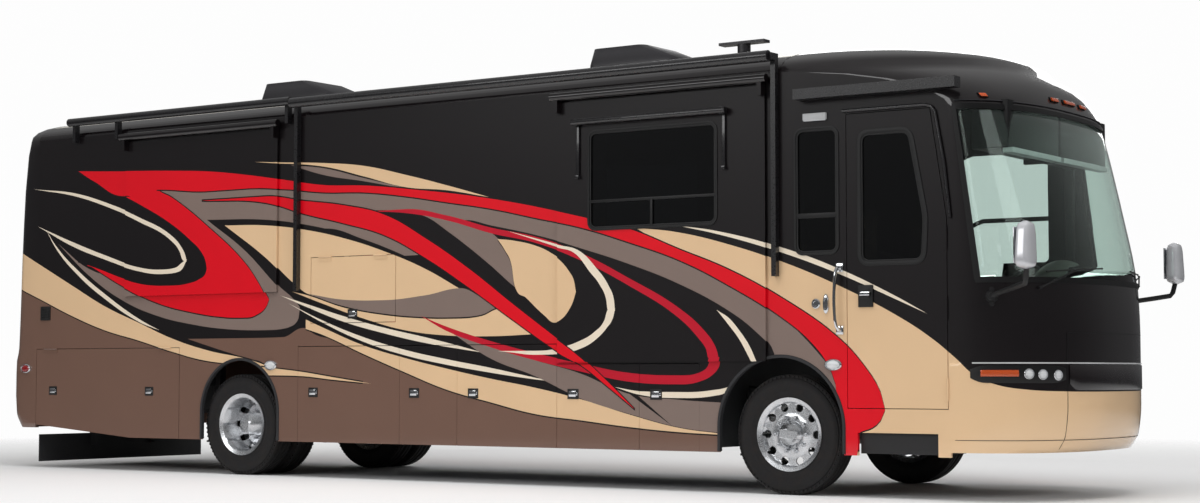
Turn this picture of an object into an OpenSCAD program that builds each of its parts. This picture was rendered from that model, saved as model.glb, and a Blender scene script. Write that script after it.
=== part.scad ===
// Class A diesel motorhome: rigid chassis, house body, slide-outs, doors and steered front axle.
// Frame: +X forward, +Y left, +Z up, origin on the ground under the middle of the overall box.

/* [Overall] */
// Length from the front bumper to the rear bumper
overall_length = 11810; // [11200:10:14200]
// Front axle to the nose
front_overhang = 2350; // [2200:10:2900]
// Distance between the axles
wheelbase = 6110; // [5700:10:7340]
// Width over the side walls
body_width = 2560; // [2150:10:3080]
// Height of the roof along its middle
crown_z = 3710; // [3600:10:4460]

/* [Body lines] */
// Height of the skirt's lower edge
skirt_z = 337; // [280:1:405]
// Height of the belt line, where skirt and wall meet
belt_z = 1255; // [1180:1:1300]
// Rise of the roof from its shoulder to its crown
roof_rise = 260; // [200:5:320]
// Shoulder of the roof down to the heads of windows and doors
head_drop = 395; // [330:5:480]
// Thickness of the side walls
wall_t = 50; // [40:1:60]
// Thickness of the front cap, rear cap and roof
cap_t = 45; // [35:1:54]
// Thickness of the house floor
floor_t = 75; // [60:1:90]
// Gap around doors and hatches
gap = 6; // [5:0.5:8]

/* [Front] */
// Front axle to the seam behind the front cap
cap_seam = 1470; // [1400:10:1560]
// Joint between front cap and roof, behind the front axle
roof_joint = -20; // [-120:10:60]
// Height of the front cap's lower edge
cap_bottom_z = 375; // [340:5:450]
// Height of the trim line between bumper and cap
bumper_top_z = 1068; // [1040:2:1120]
// Height of the windshield's lower edge
sill_z = 1705; // [1660:5:1760]
// Thickness of the windshield
glass_t = 12; // [8:1:16]

/* [Wheels] */
// Tyre diameter
tyre_d = 980; // [820:5:1010]
// Tyre width
tyre_w = 265; // [220:1:300]
// Bead diameter of the wheel
bead_d = 572; // [480:1:640]
// Middle planes of the front wheels apart
front_track = 2170; // [2000:5:2260]
// Outer face of the outer rear tyres in from the wall
rear_inset = 45; // [40:1:90]
// Middle planes of twin tyres apart
dual_pitch = 325; // [305:1:380]
// Front wheel's middle plane to its kingpin
kingpin_offset = 240; // [220:5:280]
// Hand holes in each wheel
hand_holes = 10; // [5:1:12]

/* [Lower doors] */
// Thickness of the lower doors
door_t = 30; // [24:1:40]
// Relative lengths of the right storage doors, front to rear
right_shares = [603, 863, 1109, 675, 1262];
// Relative lengths of the left storage doors, front to rear
left_shares = [1466, 1784, 1262];
// Front axle to the first storage door
first_door = 805; // [760:5:900]
// Rear axle to the last storage door
last_door = 793; // [740:5:900]
// Rear axle to the rear compartment door
rear_door_front = 799; // [740:5:900]

/* [Entry door] */
// Front axle to the door's rear edge
entry_rear = 584; // [570:2:640]
// Width of the door
entry_width = 866; // [700:2:880]
// Height of the door's lower edge
entry_bottom_z = 712; // [690:2:760]
// Thickness of the door
entry_t = 45; // [35:1:50]

/* [Slide-outs] */
// Travel of the right slide-outs
right_travel = 600; // [450:10:640]
// Travel of the left slide-out
left_travel = 700; // [600:10:740]
// Wall thickness of the slide-out boxes
slide_t = 40; // [30:1:50]
// How far the slide-outs' outer faces stand proud of the wall
slide_proud = 25; // [22:1:40]
// Length of the lounge slide-out
lounge_length = 2005; // [1800:5:2100]
// Front axle to the lounge slide-out's front end
lounge_front = 200; // [120:5:300]
// Height of the bedroom slide-out's lower edge
bedroom_z = 1790; // [1600:5:1900]

/* [Hidden] */
$fn = 64;
half_w = body_width / 2;
shoulder_z = crown_z - roof_rise;
head_z = shoulder_z - head_drop;
axle_x = overall_length / 2 - front_overhang;   // front axle in the row's frame
rear_x = front_overhang - overall_length;       // rear end, from the front axle
rear_axle_x = -wheelbase;
axle_z = tyre_d / 2;
rear_seam = rear_x + 420;
floor_top = belt_z + floor_t;

// ---------- wheel arches ----------
arch_half = 582;                                // half opening of the arches
arch_top = 1125;
front_arch_x = -35;
rear_arch_x = rear_axle_x + 25;
rear_arch_half = 515;

// ---------- lower doors ----------
door_top = belt_z - 15;
low_door_top = belt_z - 190;                    // under the lounge slide-out's pelmet
bay_span = wheelbase - last_door - first_door;
function total(list, n) = n <= 0 ? 0 : list[n - 1] + total(list, n - 1);
function seam(shares, n) = -first_door - bay_span * total(shares, n) / total(shares, len(shares));

// ---------- step box under the entry door ----------
step_x0 = entry_rear + 90;
step_x1 = entry_rear + entry_width - 90;
step_z1 = entry_bottom_z - 180;

// ---------- slide-outs ----------
lounge_x0 = -lounge_front - lounge_length;
lounge_x1 = -lounge_front;
bedroom_x0 = rear_axle_x - 1540;
bedroom_x1 = rear_axle_x + 480;
galley_x0 = rear_axle_x + 950;
galley_x1 = -1200;
slide_top = shoulder_z - 130;
slide_floor = floor_top + 10;
pelmet_z = belt_z - 170;
run_gap = 8;                                    // slide-out box to its opening
flange = 45;                                    // fascia beyond its box

// ---------- windows: [rear, front, bottom, top] ----------
window_top = head_z - 100;
lounge_window = [lounge_x0 + 300, lounge_x1 - 428, 2235, slide_top - 250];
galley_window = [galley_x0 + 1300, galley_x1 - 1200, 2150, slide_top - 250];
aft_entry_window = [124, 496, 1957, window_top];
driver_window = [250, 1250, 1950, window_top];
bedroom_window = [rear_seam + 630, rear_seam + 1230, 2235, window_top];

// ---------- chassis ----------
rail_y = 430;
rail_w = 80;
rail_z = 620;
rail_h = 250;
spring_gap = 0.08;                              // running clearance at pins
seat_gap = 0.3;                                 // between pieces that rest against each other

// Smooth curve through [place, value] pairs
function secant(p, i) = let (k = min(max(i, 0), len(p) - 2)) (p[k + 1][1] - p[k][1]) / (p[k + 1][0] - p[k][0]);
function slope(p, i) = let (a = secant(p, i - 1), b = secant(p, i)) a * b <= 0 ? 0 : 2 * a * b / (a + b);
function span_of(p, v, i = 0) = i >= len(p) - 2 || v < p[i + 1][0] ? i : span_of(p, v, i + 1);
function smooth(p, v) = let (i = span_of(p, v), w = p[i + 1][0] - p[i][0],
    t = (min(max(v, p[0][0]), p[len(p) - 1][0]) - p[i][0]) / w)
    p[i][1] * (2 * t * t * t - 3 * t * t + 1) + p[i + 1][1] * (3 * t * t - 2 * t * t * t)
    + w * slope(p, i) * (t * t * t - 2 * t * t + t) + w * slope(p, i + 1) * (t * t * t - t * t);

// ---------- front cap surface ----------
// Setback of the nose line behind the foremost point, by height
nose = [[cap_bottom_z, 110], [cap_bottom_z + 130, 28], [750, 0], [1300, 0], [sill_z, 18],
        [sill_z + 600, 145], [head_z, 365], [head_z + 0.6 * head_drop, 470], [shoulder_z, 670]];
nose_y_power = 2 / 2.6;
nose_x_power = 2 / 2.19;
function front_root(z) = z <= head_z ? cap_seam : z >= shoulder_z ? roof_joint
    : roof_joint + (cap_seam - roof_joint) * pow(1 - pow((z - head_z) / head_drop, 2), 0.8);
function front_pt(z, s, u, off) = let (c = cos(90 * s), root = front_root(z),
    tip = root + (front_overhang - smooth(nose, z) - off - root) * pow(c, 1.2),
    w = (half_w - off) * pow(c, 0.8))
    [root + (tip - root) * pow(cos(u), nose_x_power),
     -w * sign(u) * pow(abs(sin(u)), nose_y_power), z + (roof_rise - off) * sin(90 * s)];
// Angle on the nose curve at which it passes a given X
function front_angle(z, x) = acos(pow(min(max((x - cap_seam)
    / (front_overhang - smooth(nose, z) - cap_seam), 0), 1), 1 / nose_x_power));
// The windshield's side edge leans back with height
function glass_edge_x(z) = cap_seam + 225 - 175 * (z - sill_z) / (head_z - sill_z);
function glass_angle(z) = let (v = min(max(z, sill_z), head_z)) front_angle(v, glass_edge_x(v));
pillar_cols = 4;
glass_cols = 22;
function spread(a, b, n) = [for (i = [0 : n - 1]) a + (b - a) * i / n];
function front_cols(z) = let (g = glass_angle(z))
    concat(spread(90, g, pillar_cols), spread(g, -g, glass_cols), spread(-g, -90, pillar_cols), [-90]);
glass_rows = 11;
brow_rows = 5;                                  // rows below the windshield
shoulder_rows = 6;                              // rows above it
cap_rows = concat(spread(bumper_top_z, sill_z, brow_rows), spread(sill_z, head_z, glass_rows),
                  spread(head_z, shoulder_z, shoulder_rows), [shoulder_z]);
dome_rows = [0.12, 0.26, 0.4, 0.54, 0.68, 0.81, 0.92];

// ---------- rear cap surface, built with its nose forward and then turned round ----------
tail = [[420, 130], [560, 25], [760, 0], [1080, 0], [1250, 45], [2400, 90], [3200, 150],
        [max(shoulder_z, 3210), 230]];
tail_power = 2 / 9;
tail_len = 420;
function tail_pt(z, s, u, off) = let (c = cos(90 * s),
    tip = (tail_len - smooth(tail, z) - off) * pow(c, 0.5), w = (half_w - off) * pow(c, 0.8))
    [tip * pow(cos(u), tail_power), -w * sign(u) * pow(abs(sin(u)), tail_power),
     z + (roof_rise - off) * sin(90 * s)];
function tail_angle(y) = sign(y) * asin(pow(abs(y) / half_w, 1 / tail_power));
hatch_half = 700;                               // half width of the engine hatch
hatch_z0 = 600;
hatch_z1 = 1190;
lamp_y0 = half_w - 420;
lamp_y1 = half_w - 200;
lamp_z0 = 1330;
lamp_z1 = 1580;
tail_edge = [for (a = [tail_angle(hatch_half), tail_angle(lamp_y0), tail_angle(lamp_y1),
                       tail_angle(half_w - 110), tail_angle(half_w - 60), 52, 64, 75, 84, 90]) a];
tail_cols = concat([for (i = [len(tail_edge) - 1 : -1 : 0]) tail_edge[i]], [0], [for (a = tail_edge) -a]);
tail_rows = concat([420, 470, 520], [560, hatch_z0, 760, 1000, 1120, hatch_z1, 1250, lamp_z0, lamp_z1],
                   spread(1800, shoulder_z - 150, 4), [shoulder_z - 150, shoulder_z - 70, shoulder_z]);

// A wall between an outer and an inner grid of points, kept where mask is true.
// poles closes the last row onto one outer and one inner point.
module skin(outer, inner, mask, poles = []) {
    rows = len(outer);
    cols = len(outer[0]);
    n = rows * cols;
    function at(i, j) = i * cols + j;
    function on(i, j) = i >= 0 && j >= 0 && i < rows - 1 && j < cols - 1 && mask[i][j];
    function quad(a, b, c, d) = [[a, b, c], [a, c, d]];
    function cell(i, j) = let (a = at(i, j), b = at(i, j + 1), c = at(i + 1, j + 1), d = at(i + 1, j))
        concat(quad(a, d, c, b), quad(n + a, n + b, n + c, n + d),
            on(i - 1, j) ? [] : quad(a, b, n + b, n + a),
            on(i, j + 1) ? [] : quad(b, c, n + c, n + b),
            on(i + 1, j) || (i == rows - 2 && len(poles) > 0) ? [] : quad(c, d, n + d, n + c),
            on(i, j - 1) ? [] : quad(d, a, n + a, n + d));
    function fan(j) = let (a = at(rows - 1, j), b = a + 1, p = 2 * n)
        concat([[a, p, b], [n + a, n + b, p + 1]],
            j == 0 ? quad(p, a, n + a, p + 1) : [],
            j == cols - 2 ? quad(b, p, p + 1, n + b) : []);
    flat_points = concat([for (r = outer) for (q = r) q], [for (r = inner) for (q = r) q], poles);
    cells = [for (i = [0 : rows - 2]) for (j = [0 : cols - 2]) if (mask[i][j]) for (f = cell(i, j)) f];
    fans = len(poles) > 0 ? [for (j = [0 : cols - 2]) for (f = fan(j)) f] : [];
    polyhedron(flat_points, concat(cells, fans), convexity = 8);
}

module rod(a, b, r) {
    v = b - a;
    translate(a) rotate([0, acos(v[2] / norm(v)), atan2(v[1], v[0])]) cylinder(h = norm(v), r = r);
}
// A plate standing in an X-Z plane, its outer face at the wall's, on the side given by sgn
module side_plate(sgn, t, out = 0) {
    translate([0, sgn > 0 ? half_w + out : -half_w - out + t, 0]) rotate([90, 0, 0])
        linear_extrude(t) children();
}
// Strap hinges standing on the outer face, their barrels over the gap: the seat gap is to the fixed edge
hinge_off = 6.5;
hinge_r = norm([gap / 2, hinge_off]) - 0.5;
module upright_hinge(sgn, x, z0, z1) {
    y = sgn * half_w;
    translate([x + gap / 2, y + sgn * hinge_off, z0]) cylinder(h = z1 - z0, r = hinge_r);
    block(x - 35, x + gap / 2, min(y, y + sgn * 4), max(y, y + sgn * 4), z0, z1);
}
module level_hinge(sgn, x0, x1, z) {
    y = sgn * half_w;
    translate([x0, y + sgn * hinge_off, z + gap / 2]) rotate([0, 90, 0]) cylinder(h = x1 - x0, r = hinge_r);
    block(x0, x1, min(y, y + sgn * 4), max(y, y + sgn * 4), z - 35, z + gap / 2);
}
module rect(x0, x1, z0, z1) { translate([x0, z0]) square([x1 - x0, z1 - z0]); }
module round_rect(x0, x1, z0, z1, r) {
    rect(x0 + r, x1 - r, z0, z1);
    rect(x0, x1, z0 + r, z1 - r);
    for (x = [x0 + r, x1 - r]) for (z = [z0 + r, z1 - r]) translate([x, z]) circle(r);
}
module window_cut(w, grow = 0) { round_rect(w[0] - grow, w[1] + grow, w[2] - grow, w[3] + grow, 60); }
module block(x0, x1, y0, y1, z0, z1) { translate([x0, y0, z0]) cube([x1 - x0, y1 - y0, z1 - z0]); }

// ---------- root body: caps, walls, roof ----------
module front_cap() color("#1d1b1c") {
    rows = cap_rows;
    last = front_cols(shoulder_z);
    outer = concat([for (z = rows) [for (u = front_cols(z)) front_pt(z, 0, u, 0)]],
                   [for (s = dome_rows) [for (u = last) front_pt(shoulder_z, s, u, 0)]]);
    inner = concat([for (z = rows) [for (u = front_cols(z)) front_pt(z, 0, u, cap_t)]],
                   [for (s = dome_rows) [for (u = last) front_pt(shoulder_z, s, u, cap_t)]]);
    mask = [for (i = [0 : len(outer) - 2]) [for (j = [0 : len(last) - 2])
        !(i >= brow_rows && i < brow_rows + glass_rows && j >= pillar_cols && j < pillar_cols + glass_cols)]];
    skin(outer, inner, mask, [[roof_joint, 0, crown_z], [roof_joint, 0, crown_z - cap_t]]);
}
glass_share = 0.998;                            // the glass stops just short of the pillars
glass_inset = 6;
function glass_fan(z) = [for (k = [0 : glass_cols]) glass_share * glass_angle(z) * (1 - 2 * k / glass_cols)];
module windshield() color("#5f7f74", 0.5) {
    z0 = sill_z + seat_gap;
    z1 = head_z - seat_gap;
    rows = [for (i = [0 : glass_rows]) z0 + (z1 - z0) * i / glass_rows];
    skin([for (z = rows) [for (u = glass_fan(z)) front_pt(z, 0, u, glass_inset)]],
         [for (z = rows) [for (u = glass_fan(z)) front_pt(z, 0, u, glass_inset + glass_t)]],
         [for (i = [1 : glass_rows]) [for (j = [1 : glass_cols]) true]]);
}
lamp_low_z = 925;
lamp_high_z = 1035;
lamp_x0 = cap_seam + 215;
lamp_x1 = cap_seam + 700;
bumper_rows = concat(spread(cap_bottom_z, 560, 4), spread(560, lamp_low_z, 3),
                     [lamp_low_z, lamp_high_z, bumper_top_z]);
function lamp_cols(z, n) = let (a = front_angle(z, lamp_x0), b = front_angle(z, lamp_x1)) spread(a, b, n);
function bumper_cols(z) = let (a = front_angle(lamp_low_z, lamp_x0), b = front_angle(lamp_low_z, lamp_x1))
    concat(spread(90, a, 4), spread(a, b, 6), spread(b, -b, 12), spread(-b, -a, 6), spread(-a, -90, 4), [-90]);
module front_bumper() color("#b59a78") {
    lamp_row = len(bumper_rows) - 3;
    skin([for (z = bumper_rows) [for (u = bumper_cols(z)) front_pt(z, 0, u, 0)]],
         [for (z = bumper_rows) [for (u = bumper_cols(z)) front_pt(z, 0, u, cap_t)]],
         [for (i = [0 : len(bumper_rows) - 2]) [for (j = [0 : 31])
             !(i == lamp_row && ((j >= 4 && j < 10) || (j >= 22 && j < 28)))]]);
}
module lamp_band(sgn, z0, z1) {
    rows = [z0 + seat_gap, (z0 + z1) / 2, z1 - seat_gap];
    a = front_angle(z0, lamp_x0 + 1);
    b = front_angle(z0, lamp_x1 - 1);
    from = sgn < 0 ? a : -b;
    to = sgn < 0 ? b : -a;
    skin([for (z = rows) [for (k = [0 : 8]) front_pt(z, 0, from + (to - from) * k / 8, 8)]],
         [for (z = rows) [for (k = [0 : 8]) front_pt(z, 0, from + (to - from) * k / 8, cap_t)]],
         [for (i = [0 : 1]) [for (j = [0 : 7]) true]]);
}
module lamps() {
    color("#e8e8e4") for (sgn = [-1, 1]) lamp_band(sgn, lamp_low_z, lamp_high_z);
    color("#a01420") translate([rear_seam, 0, 0]) rotate([0, 0, 180]) for (sgn = [-1, 1]) tail_lamp(sgn);
}
module tail_lamp(sgn) {
    near = tail_angle(lamp_y0 + seat_gap);
    far = tail_angle(lamp_y1 - seat_gap);
    a = sgn > 0 ? -near : far;
    b = sgn > 0 ? -far : near;
    rows = [lamp_z0 + seat_gap, lamp_z1 - seat_gap];
    skin([for (z = rows) [for (k = [0 : 4]) tail_pt(z, 0, a + (b - a) * k / 4, -4)]],
         [for (z = rows) [for (k = [0 : 4]) tail_pt(z, 0, a + (b - a) * k / 4, cap_t - 2)]],
         [[for (j = [0 : 3]) true]]);
}
module rear_cap() color("#1d1b1c") translate([rear_seam, 0, 0]) rotate([0, 0, 180]) {
    outer = concat([for (z = tail_rows) [for (u = tail_cols) tail_pt(z, 0, u, 0)]],
                   [for (s = dome_rows) [for (u = tail_cols) tail_pt(shoulder_z, s, u, 0)]]);
    inner = concat([for (z = tail_rows) [for (u = tail_cols) tail_pt(z, 0, u, cap_t)]],
                   [for (s = dome_rows) [for (u = tail_cols) tail_pt(shoulder_z, s, u, cap_t)]]);
    mid = len(tail_edge);
    mask = [for (i = [0 : len(outer) - 2]) [for (j = [0 : len(tail_cols) - 2])
        !(i < len(tail_rows) - 1 && ((tail_rows[i] >= hatch_z0 && tail_rows[i] < hatch_z1
            && j >= mid - 1 && j < mid + 1)
        || (tail_rows[i] == lamp_z0 && (j == mid - 3 || j == mid + 2))))]];
    skin(outer, inner, mask, [[0, 0, crown_z], [0, 0, crown_z - cap_t]]);
}
module engine_hatch() color("#222021") translate([rear_seam, 0, 0]) rotate([0, 0, 180]) {
    a = tail_angle(hatch_half - gap);
    rows = [hatch_z0 + gap, 760, 1000, 1120, hatch_z1 - gap];
    skin([for (z = rows) [for (u = [a, 0, -a]) tail_pt(z, 0, u, 0)]],
         [for (z = rows) [for (u = [a, 0, -a]) tail_pt(z, 0, u, door_t)]],
         [for (i = [1 : 4]) [true, true]]);
    face = tail_len - smooth(tail, hatch_z1);
    for (y = [-450, 450]) {
        translate([face + hinge_off, y + 100, hatch_z1 - gap / 2]) rotate([90, 0, 0])
            cylinder(h = 200, r = hinge_r);
        block(face - 20, face + 6, y - 100, y + 100, hatch_z1 - gap - 25, hatch_z1 - gap / 2);
    }
}
// The wall's front edge follows the front cap's rear edge, row by row
module wall_outline() {
    rows = concat(spread(head_z, shoulder_z, shoulder_rows), [shoulder_z]);
    polygon(concat([[rear_seam, belt_z], [cap_seam - seat_gap, belt_z]],
        [for (z = rows) [front_root(z) - seat_gap, z]], [[rear_seam, shoulder_z]]));
}
entry_knee_z = 2190;                            // the front edge leans back above this
entry_lean = 135;
module entry_outline(grow) {
    x0 = entry_rear - grow;
    x1 = entry_rear + entry_width + grow;
    polygon([[x0, entry_bottom_z - grow], [x1, entry_bottom_z - grow],
             [x1, entry_knee_z], [x1 - entry_lean, head_z + grow], [x0, head_z + grow]]);
}
fridge_hatch = [rear_axle_x + 955, rear_axle_x + 2000, 1465, 2085];
module right_wall() color("#1d1b1c") side_plate(-1, wall_t) difference() {
    wall_outline();
    entry_outline(gap);
    rect(lounge_x0 - run_gap, lounge_x1 + run_gap, slide_floor - run_gap, slide_top + run_gap);
    rect(bedroom_x0 - run_gap, bedroom_x1 + run_gap, bedroom_z - run_gap, slide_top + run_gap);
    window_cut(aft_entry_window);
    rect(fridge_hatch[0] - gap, fridge_hatch[1] + gap, fridge_hatch[2] - gap, fridge_hatch[3] + gap);
}
module left_wall() color("#1d1b1c") side_plate(1, wall_t) difference() {
    wall_outline();
    rect(galley_x0 - run_gap, galley_x1 + run_gap, slide_floor - run_gap, slide_top + run_gap);
    window_cut(driver_window);
    window_cut(bedroom_window);
}
module arch_cut(x, half) {
    rect(x - half, x + half, 0, arch_top - half);
    translate([x, arch_top - half]) circle(half);
}
module skirt_shape(shares, low) {
    difference() {
        rect(seam(shares, 0), cap_seam, skirt_z, belt_z);
        arch_cut(front_arch_x, arch_half);
    }
    difference() {
        rect(rear_axle_x - rear_door_front, seam(shares, len(shares)), skirt_z, belt_z);
        arch_cut(rear_arch_x, rear_arch_half);
    }
    rect(seam(shares, low), seam(shares, 0), low_door_top + gap, belt_z);
    if (low < len(shares)) rect(seam(shares, len(shares)), seam(shares, low), door_top + gap, belt_z);
    rect(rear_seam, rear_axle_x - rear_door_front, door_top + gap, belt_z);
}
module skirt_panels() color("#6f5448") {
    side_plate(-1, door_t) difference() {
        skirt_shape(right_shares, 2);
        entry_outline(gap);
        rect(step_x0 - gap, step_x1 + gap, 0, step_z1 - 15);
    }
    side_plate(1, door_t) skirt_shape(left_shares, len(left_shares));
}
function roof_pt(a, off) = [(half_w - off) * pow(abs(cos(a)), 0.8) * sign(cos(a)),
                            shoulder_z + (roof_rise - off) * sin(a)];
module roof() color("#2a2829") {
    steps = 36;
    translate([rear_seam, 0, 0]) rotate([90, 0, 90]) linear_extrude(roof_joint - rear_seam)
        polygon(concat([for (i = [0 : steps]) roof_pt(180 * i / steps, 0)],
                       [for (i = [steps : -1 : 0]) roof_pt(180 * i / steps, cap_t)]));
}
module window_glass() color("#3c4a4a", 0.5) {
    side_plate(-1, glass_t, -12) window_cut(aft_entry_window);
    side_plate(1, glass_t, -12) window_cut(driver_window);
    side_plate(1, glass_t, -12) window_cut(bedroom_window);
}

// ---------- root body: floor, storage bays, chassis ----------
well_y = 650;                                   // inner side of the entry stairwell
well_t = 20;
well_z = entry_bottom_z - 40;
well_x0 = entry_rear + 40;                      // clear of the steered tyre
well_x1 = entry_rear + entry_width;
well_tread = 270;
module house_floor() color("#8b8f92") {
    inner = half_w - wall_t;
    difference() {
        block(rear_seam + 40, cap_seam, -inner, inner, belt_z, floor_top);
        block(well_x0, well_x1, -inner - 1, -well_y, belt_z - 1, floor_top + 1);
    }
    difference() {
        block(well_x0 - well_t, cap_seam - 1, -inner, -well_y + well_t, well_z, belt_z);
        block(well_x0, well_x1, -inner - 1, -well_y, well_z + well_t, belt_z + 1);
    }
    block(well_x0, well_x1, -well_y - well_tread, -well_y, well_z + well_t, (well_z + floor_top) / 2);
}
bay_floor_z = skirt_z + 25;
bulkhead_t = 30;
function bulkheads() = [-first_door - bulkhead_t, seam(right_shares, 2) - bulkhead_t / 2,
                        seam(right_shares, 3) - bulkhead_t / 2, -first_door - bay_span];
module storage_bays() color("#55585a") {
    edge = half_w - door_t - seat_gap;
    rail_out = rail_y + rail_w / 2 + 5;
    rail_in = rail_y - rail_w / 2 - 5;
    block(-first_door - bay_span, -first_door, -edge, edge, bay_floor_z, bay_floor_z + bulkhead_t);
    for (x = bulkheads()) difference() {
        block(x, x + bulkhead_t, -edge, edge, bay_floor_z + bulkhead_t, belt_z);
        for (s = [-1, 1]) block(x - 1, x + bulkhead_t + 1, s > 0 ? rail_in : -rail_out,
            s > 0 ? rail_out : -rail_in, rail_z - 5, rail_z + rail_h + 5);
    }
}
receiver = 76;                                  // hitch receiver's outside width
receiver_bore = 51;
receiver_z = 370;
receiver_x = rear_x + 45;
hitch_pin_r = 8;
pin_in = 60;                                    // pin hole in from the receiver's mouth
module square_bar(x0, x1, w) { block(x0, x1, -w / 2, w / 2, receiver_z - w / 2, receiver_z + w / 2); }
rail_x0 = rear_x + 260;
rail_x1 = front_overhang - 350;
// Crossmembers and body mounts between the axles, each behind a bulkhead
cross_x = [-first_door - 190, seam(right_shares, 2) - 190, seam(right_shares, 3) - 190, rear_axle_x + 600];
module chassis_frame() color("#26282a") {
    for (s = [-1, 1])
        block(rail_x0, rail_x1, s * rail_y - rail_w / 2, s * rail_y + rail_w / 2, rail_z, rail_z + rail_h);
    inner = rail_y - rail_w / 2;
    for (x = concat([rail_x1 - 80, 900, rear_axle_x - 800, rail_x0], cross_x))
        block(x, x + 80, -inner, inner, rail_z + 40, rail_z + rail_h - 40);
    for (x = concat([cap_seam - 250, 700, rear_axle_x - 1100, rail_x0 + 150], cross_x)) for (s = [-1, 1])
        block(x, x + 60, s * rail_y - rail_w / 2, s * rail_y + rail_w / 2, rail_z + rail_h, belt_z);
    block(rail_x0, rail_x0 + 80, -inner, inner, receiver_z - receiver / 2, rail_z + 60);
    difference() {
        square_bar(receiver_x, rail_x0, receiver);
        square_bar(receiver_x - 1, rail_x0 - 10, receiver_bore);
        translate([receiver_x + pin_in, 0, receiver_z]) rotate([90, 0, 0])
            cylinder(h = receiver + 2, r = hitch_pin_r, center = true);
    }
}
kingpin_y = front_track / 2 - kingpin_offset;
kingpin_r = 25;
eye_h = 120;
eye_r = 55;
module front_axle() color("#2c2e30") difference() {
    union() {
        block(-55, 55, -kingpin_y + eye_r - 10, kingpin_y - eye_r + 10, axle_z - 60, axle_z + 40);
        for (s = [-1, 1]) translate([0, s * kingpin_y, axle_z - eye_h / 2]) cylinder(h = eye_h, r = eye_r);
        for (s = [-1, 1]) block(-60, 60, s * rail_y - 40, s * rail_y + 40, axle_z, rail_z);
    }
    for (s = [-1, 1]) translate([0, s * kingpin_y, 0]) cylinder(h = 2 * axle_z, r = kingpin_r + spring_gap);
}
spindle_r = 45;
module knuckle(s) color("#3a3c3e") translate([0, s * kingpin_y, axle_z]) {
    cylinder(h = eye_h + 60, r = kingpin_r, center = true);
    for (z = [-eye_h / 2 - 30, eye_h / 2 + 5]) {
        translate([-50, -50, z]) cube([100, 100, 25]);
        translate([-50, s > 0 ? 49 : -63, z]) cube([100, 14, 25]);
    }
    translate([-50, s > 0 ? 62 : -87, -eye_h / 2 - 30]) cube([100, 25, eye_h + 60]);
    translate([0, s * 75, 0]) rotate([-s * 90, 0, 0]) cylinder(h = kingpin_offset - 45, r = spindle_r);
}
module right_knuckle() knuckle(-1);
module left_knuckle() knuckle(1);
tyre_r = tyre_d / 2;
bead_r = bead_d / 2;
bead_in = 32;                                   // tyre's bead in from its widest plane
rim_lip = 14;
lip_in = bead_in - 26 * rim_lip / (0.35 * (tyre_r - bead_r)) - seat_gap;
module tyre_ring(y) translate([0, y, 0]) rotate([90, 0, 0]) rotate_extrude($fn = 96) {
    w = tyre_w / 2;
    side = tyre_r - bead_r;
    polygon([[bead_r, -w + bead_in], [bead_r + 0.35 * side, -w + 6], [bead_r + 0.6 * side, -w],
             [bead_r + 0.85 * side, -w + 10], [tyre_r - 14, -w + 24], [tyre_r, -w + 48],
             [tyre_r, w - 48], [tyre_r - 14, w - 24], [bead_r + 0.85 * side, w - 10],
             [bead_r + 0.6 * side, w], [bead_r + 0.35 * side, w - 6], [bead_r, w - bead_in],
             [bead_r, w - 60], [bead_r + 55, w - 75], [bead_r + 55, 75 - w], [bead_r, 60 - w]]);
}
// Disc wheel round the Y axis: face is the disc's place from the middle plane, towards -Y
disc_flat_r = 205;
module disc_wheel(y, face, hub_r, hub_y0, hub_y1) translate([0, y, 0]) {
    w = tyre_w / 2;
    seat_in = bead_in - seat_gap;
    edge = min(max(face, 60 - w), w - 60);
    difference() {
        union() {
            rotate([90, 0, 0]) rotate_extrude($fn = 96) polygon([[bead_r - 28, -w + 34],
                [bead_r + rim_lip, -w + 16], [bead_r + rim_lip, -w + lip_in], [bead_r - seat_gap, -w + seat_in],
                [bead_r - seat_gap, w - seat_in], [bead_r + rim_lip, w - lip_in], [bead_r + rim_lip, w - 16],
                [bead_r - 28, w - 34]]);
            rotate([90, 0, 0]) rotate_extrude($fn = 96) polygon([[hub_r - 10, face - 8],
                [disc_flat_r, face - 8], [bead_r - 24, edge - 8], [bead_r - 24, edge + 8],
                [disc_flat_r, face + 8], [hub_r - 10, face + 8]]);
            translate([0, hub_y0, 0]) rotate([-90, 0, 0]) cylinder(h = hub_y1 - hub_y0, r = hub_r);
        }
        for (k = [0 : hand_holes - 1]) rotate([0, (k + 0.5) * 360 / hand_holes, 0])
            translate([0, -(face + edge) / 2, bead_r - 60]) rotate([90, 0, 0])
                cylinder(h = 160, r = 25, center = true);
        translate([0, hub_y0 - 1, 0]) rotate([-90, 0, 0]) cylinder(h = 2000, r = spindle_r + spring_gap);
    }
}
module front_tyre(s) color("#1b1b1b") translate([0, 0, axle_z]) tyre_ring(s * front_track / 2);
module front_rim(s) color("#c9ccd0") translate([0, 0, axle_z]) rotate([0, 0, s > 0 ? 180 : 0])
    union() {
        disc_wheel(-front_track / 2, 55, 85, -100, 60);
        translate([0, -front_track / 2 - 90, 0]) rotate([90, 0, 0]) cylinder(h = 40, r = 85);
    }
module front_right_tyre() front_tyre(-1);
module front_left_tyre() front_tyre(1);
module front_right_rim() front_rim(-1);
module front_left_rim() front_rim(1);
dual_outer = half_w - rear_inset - tyre_w / 2;  // middle plane of the outer rear tyre
dual_inner = dual_outer - dual_pitch;
module rear_tyres(s) color("#1b1b1b") translate([rear_axle_x, 0, axle_z])
    for (y = [dual_outer, dual_inner]) tyre_ring(s * y);
hub_end = dual_inner - 160;
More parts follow.
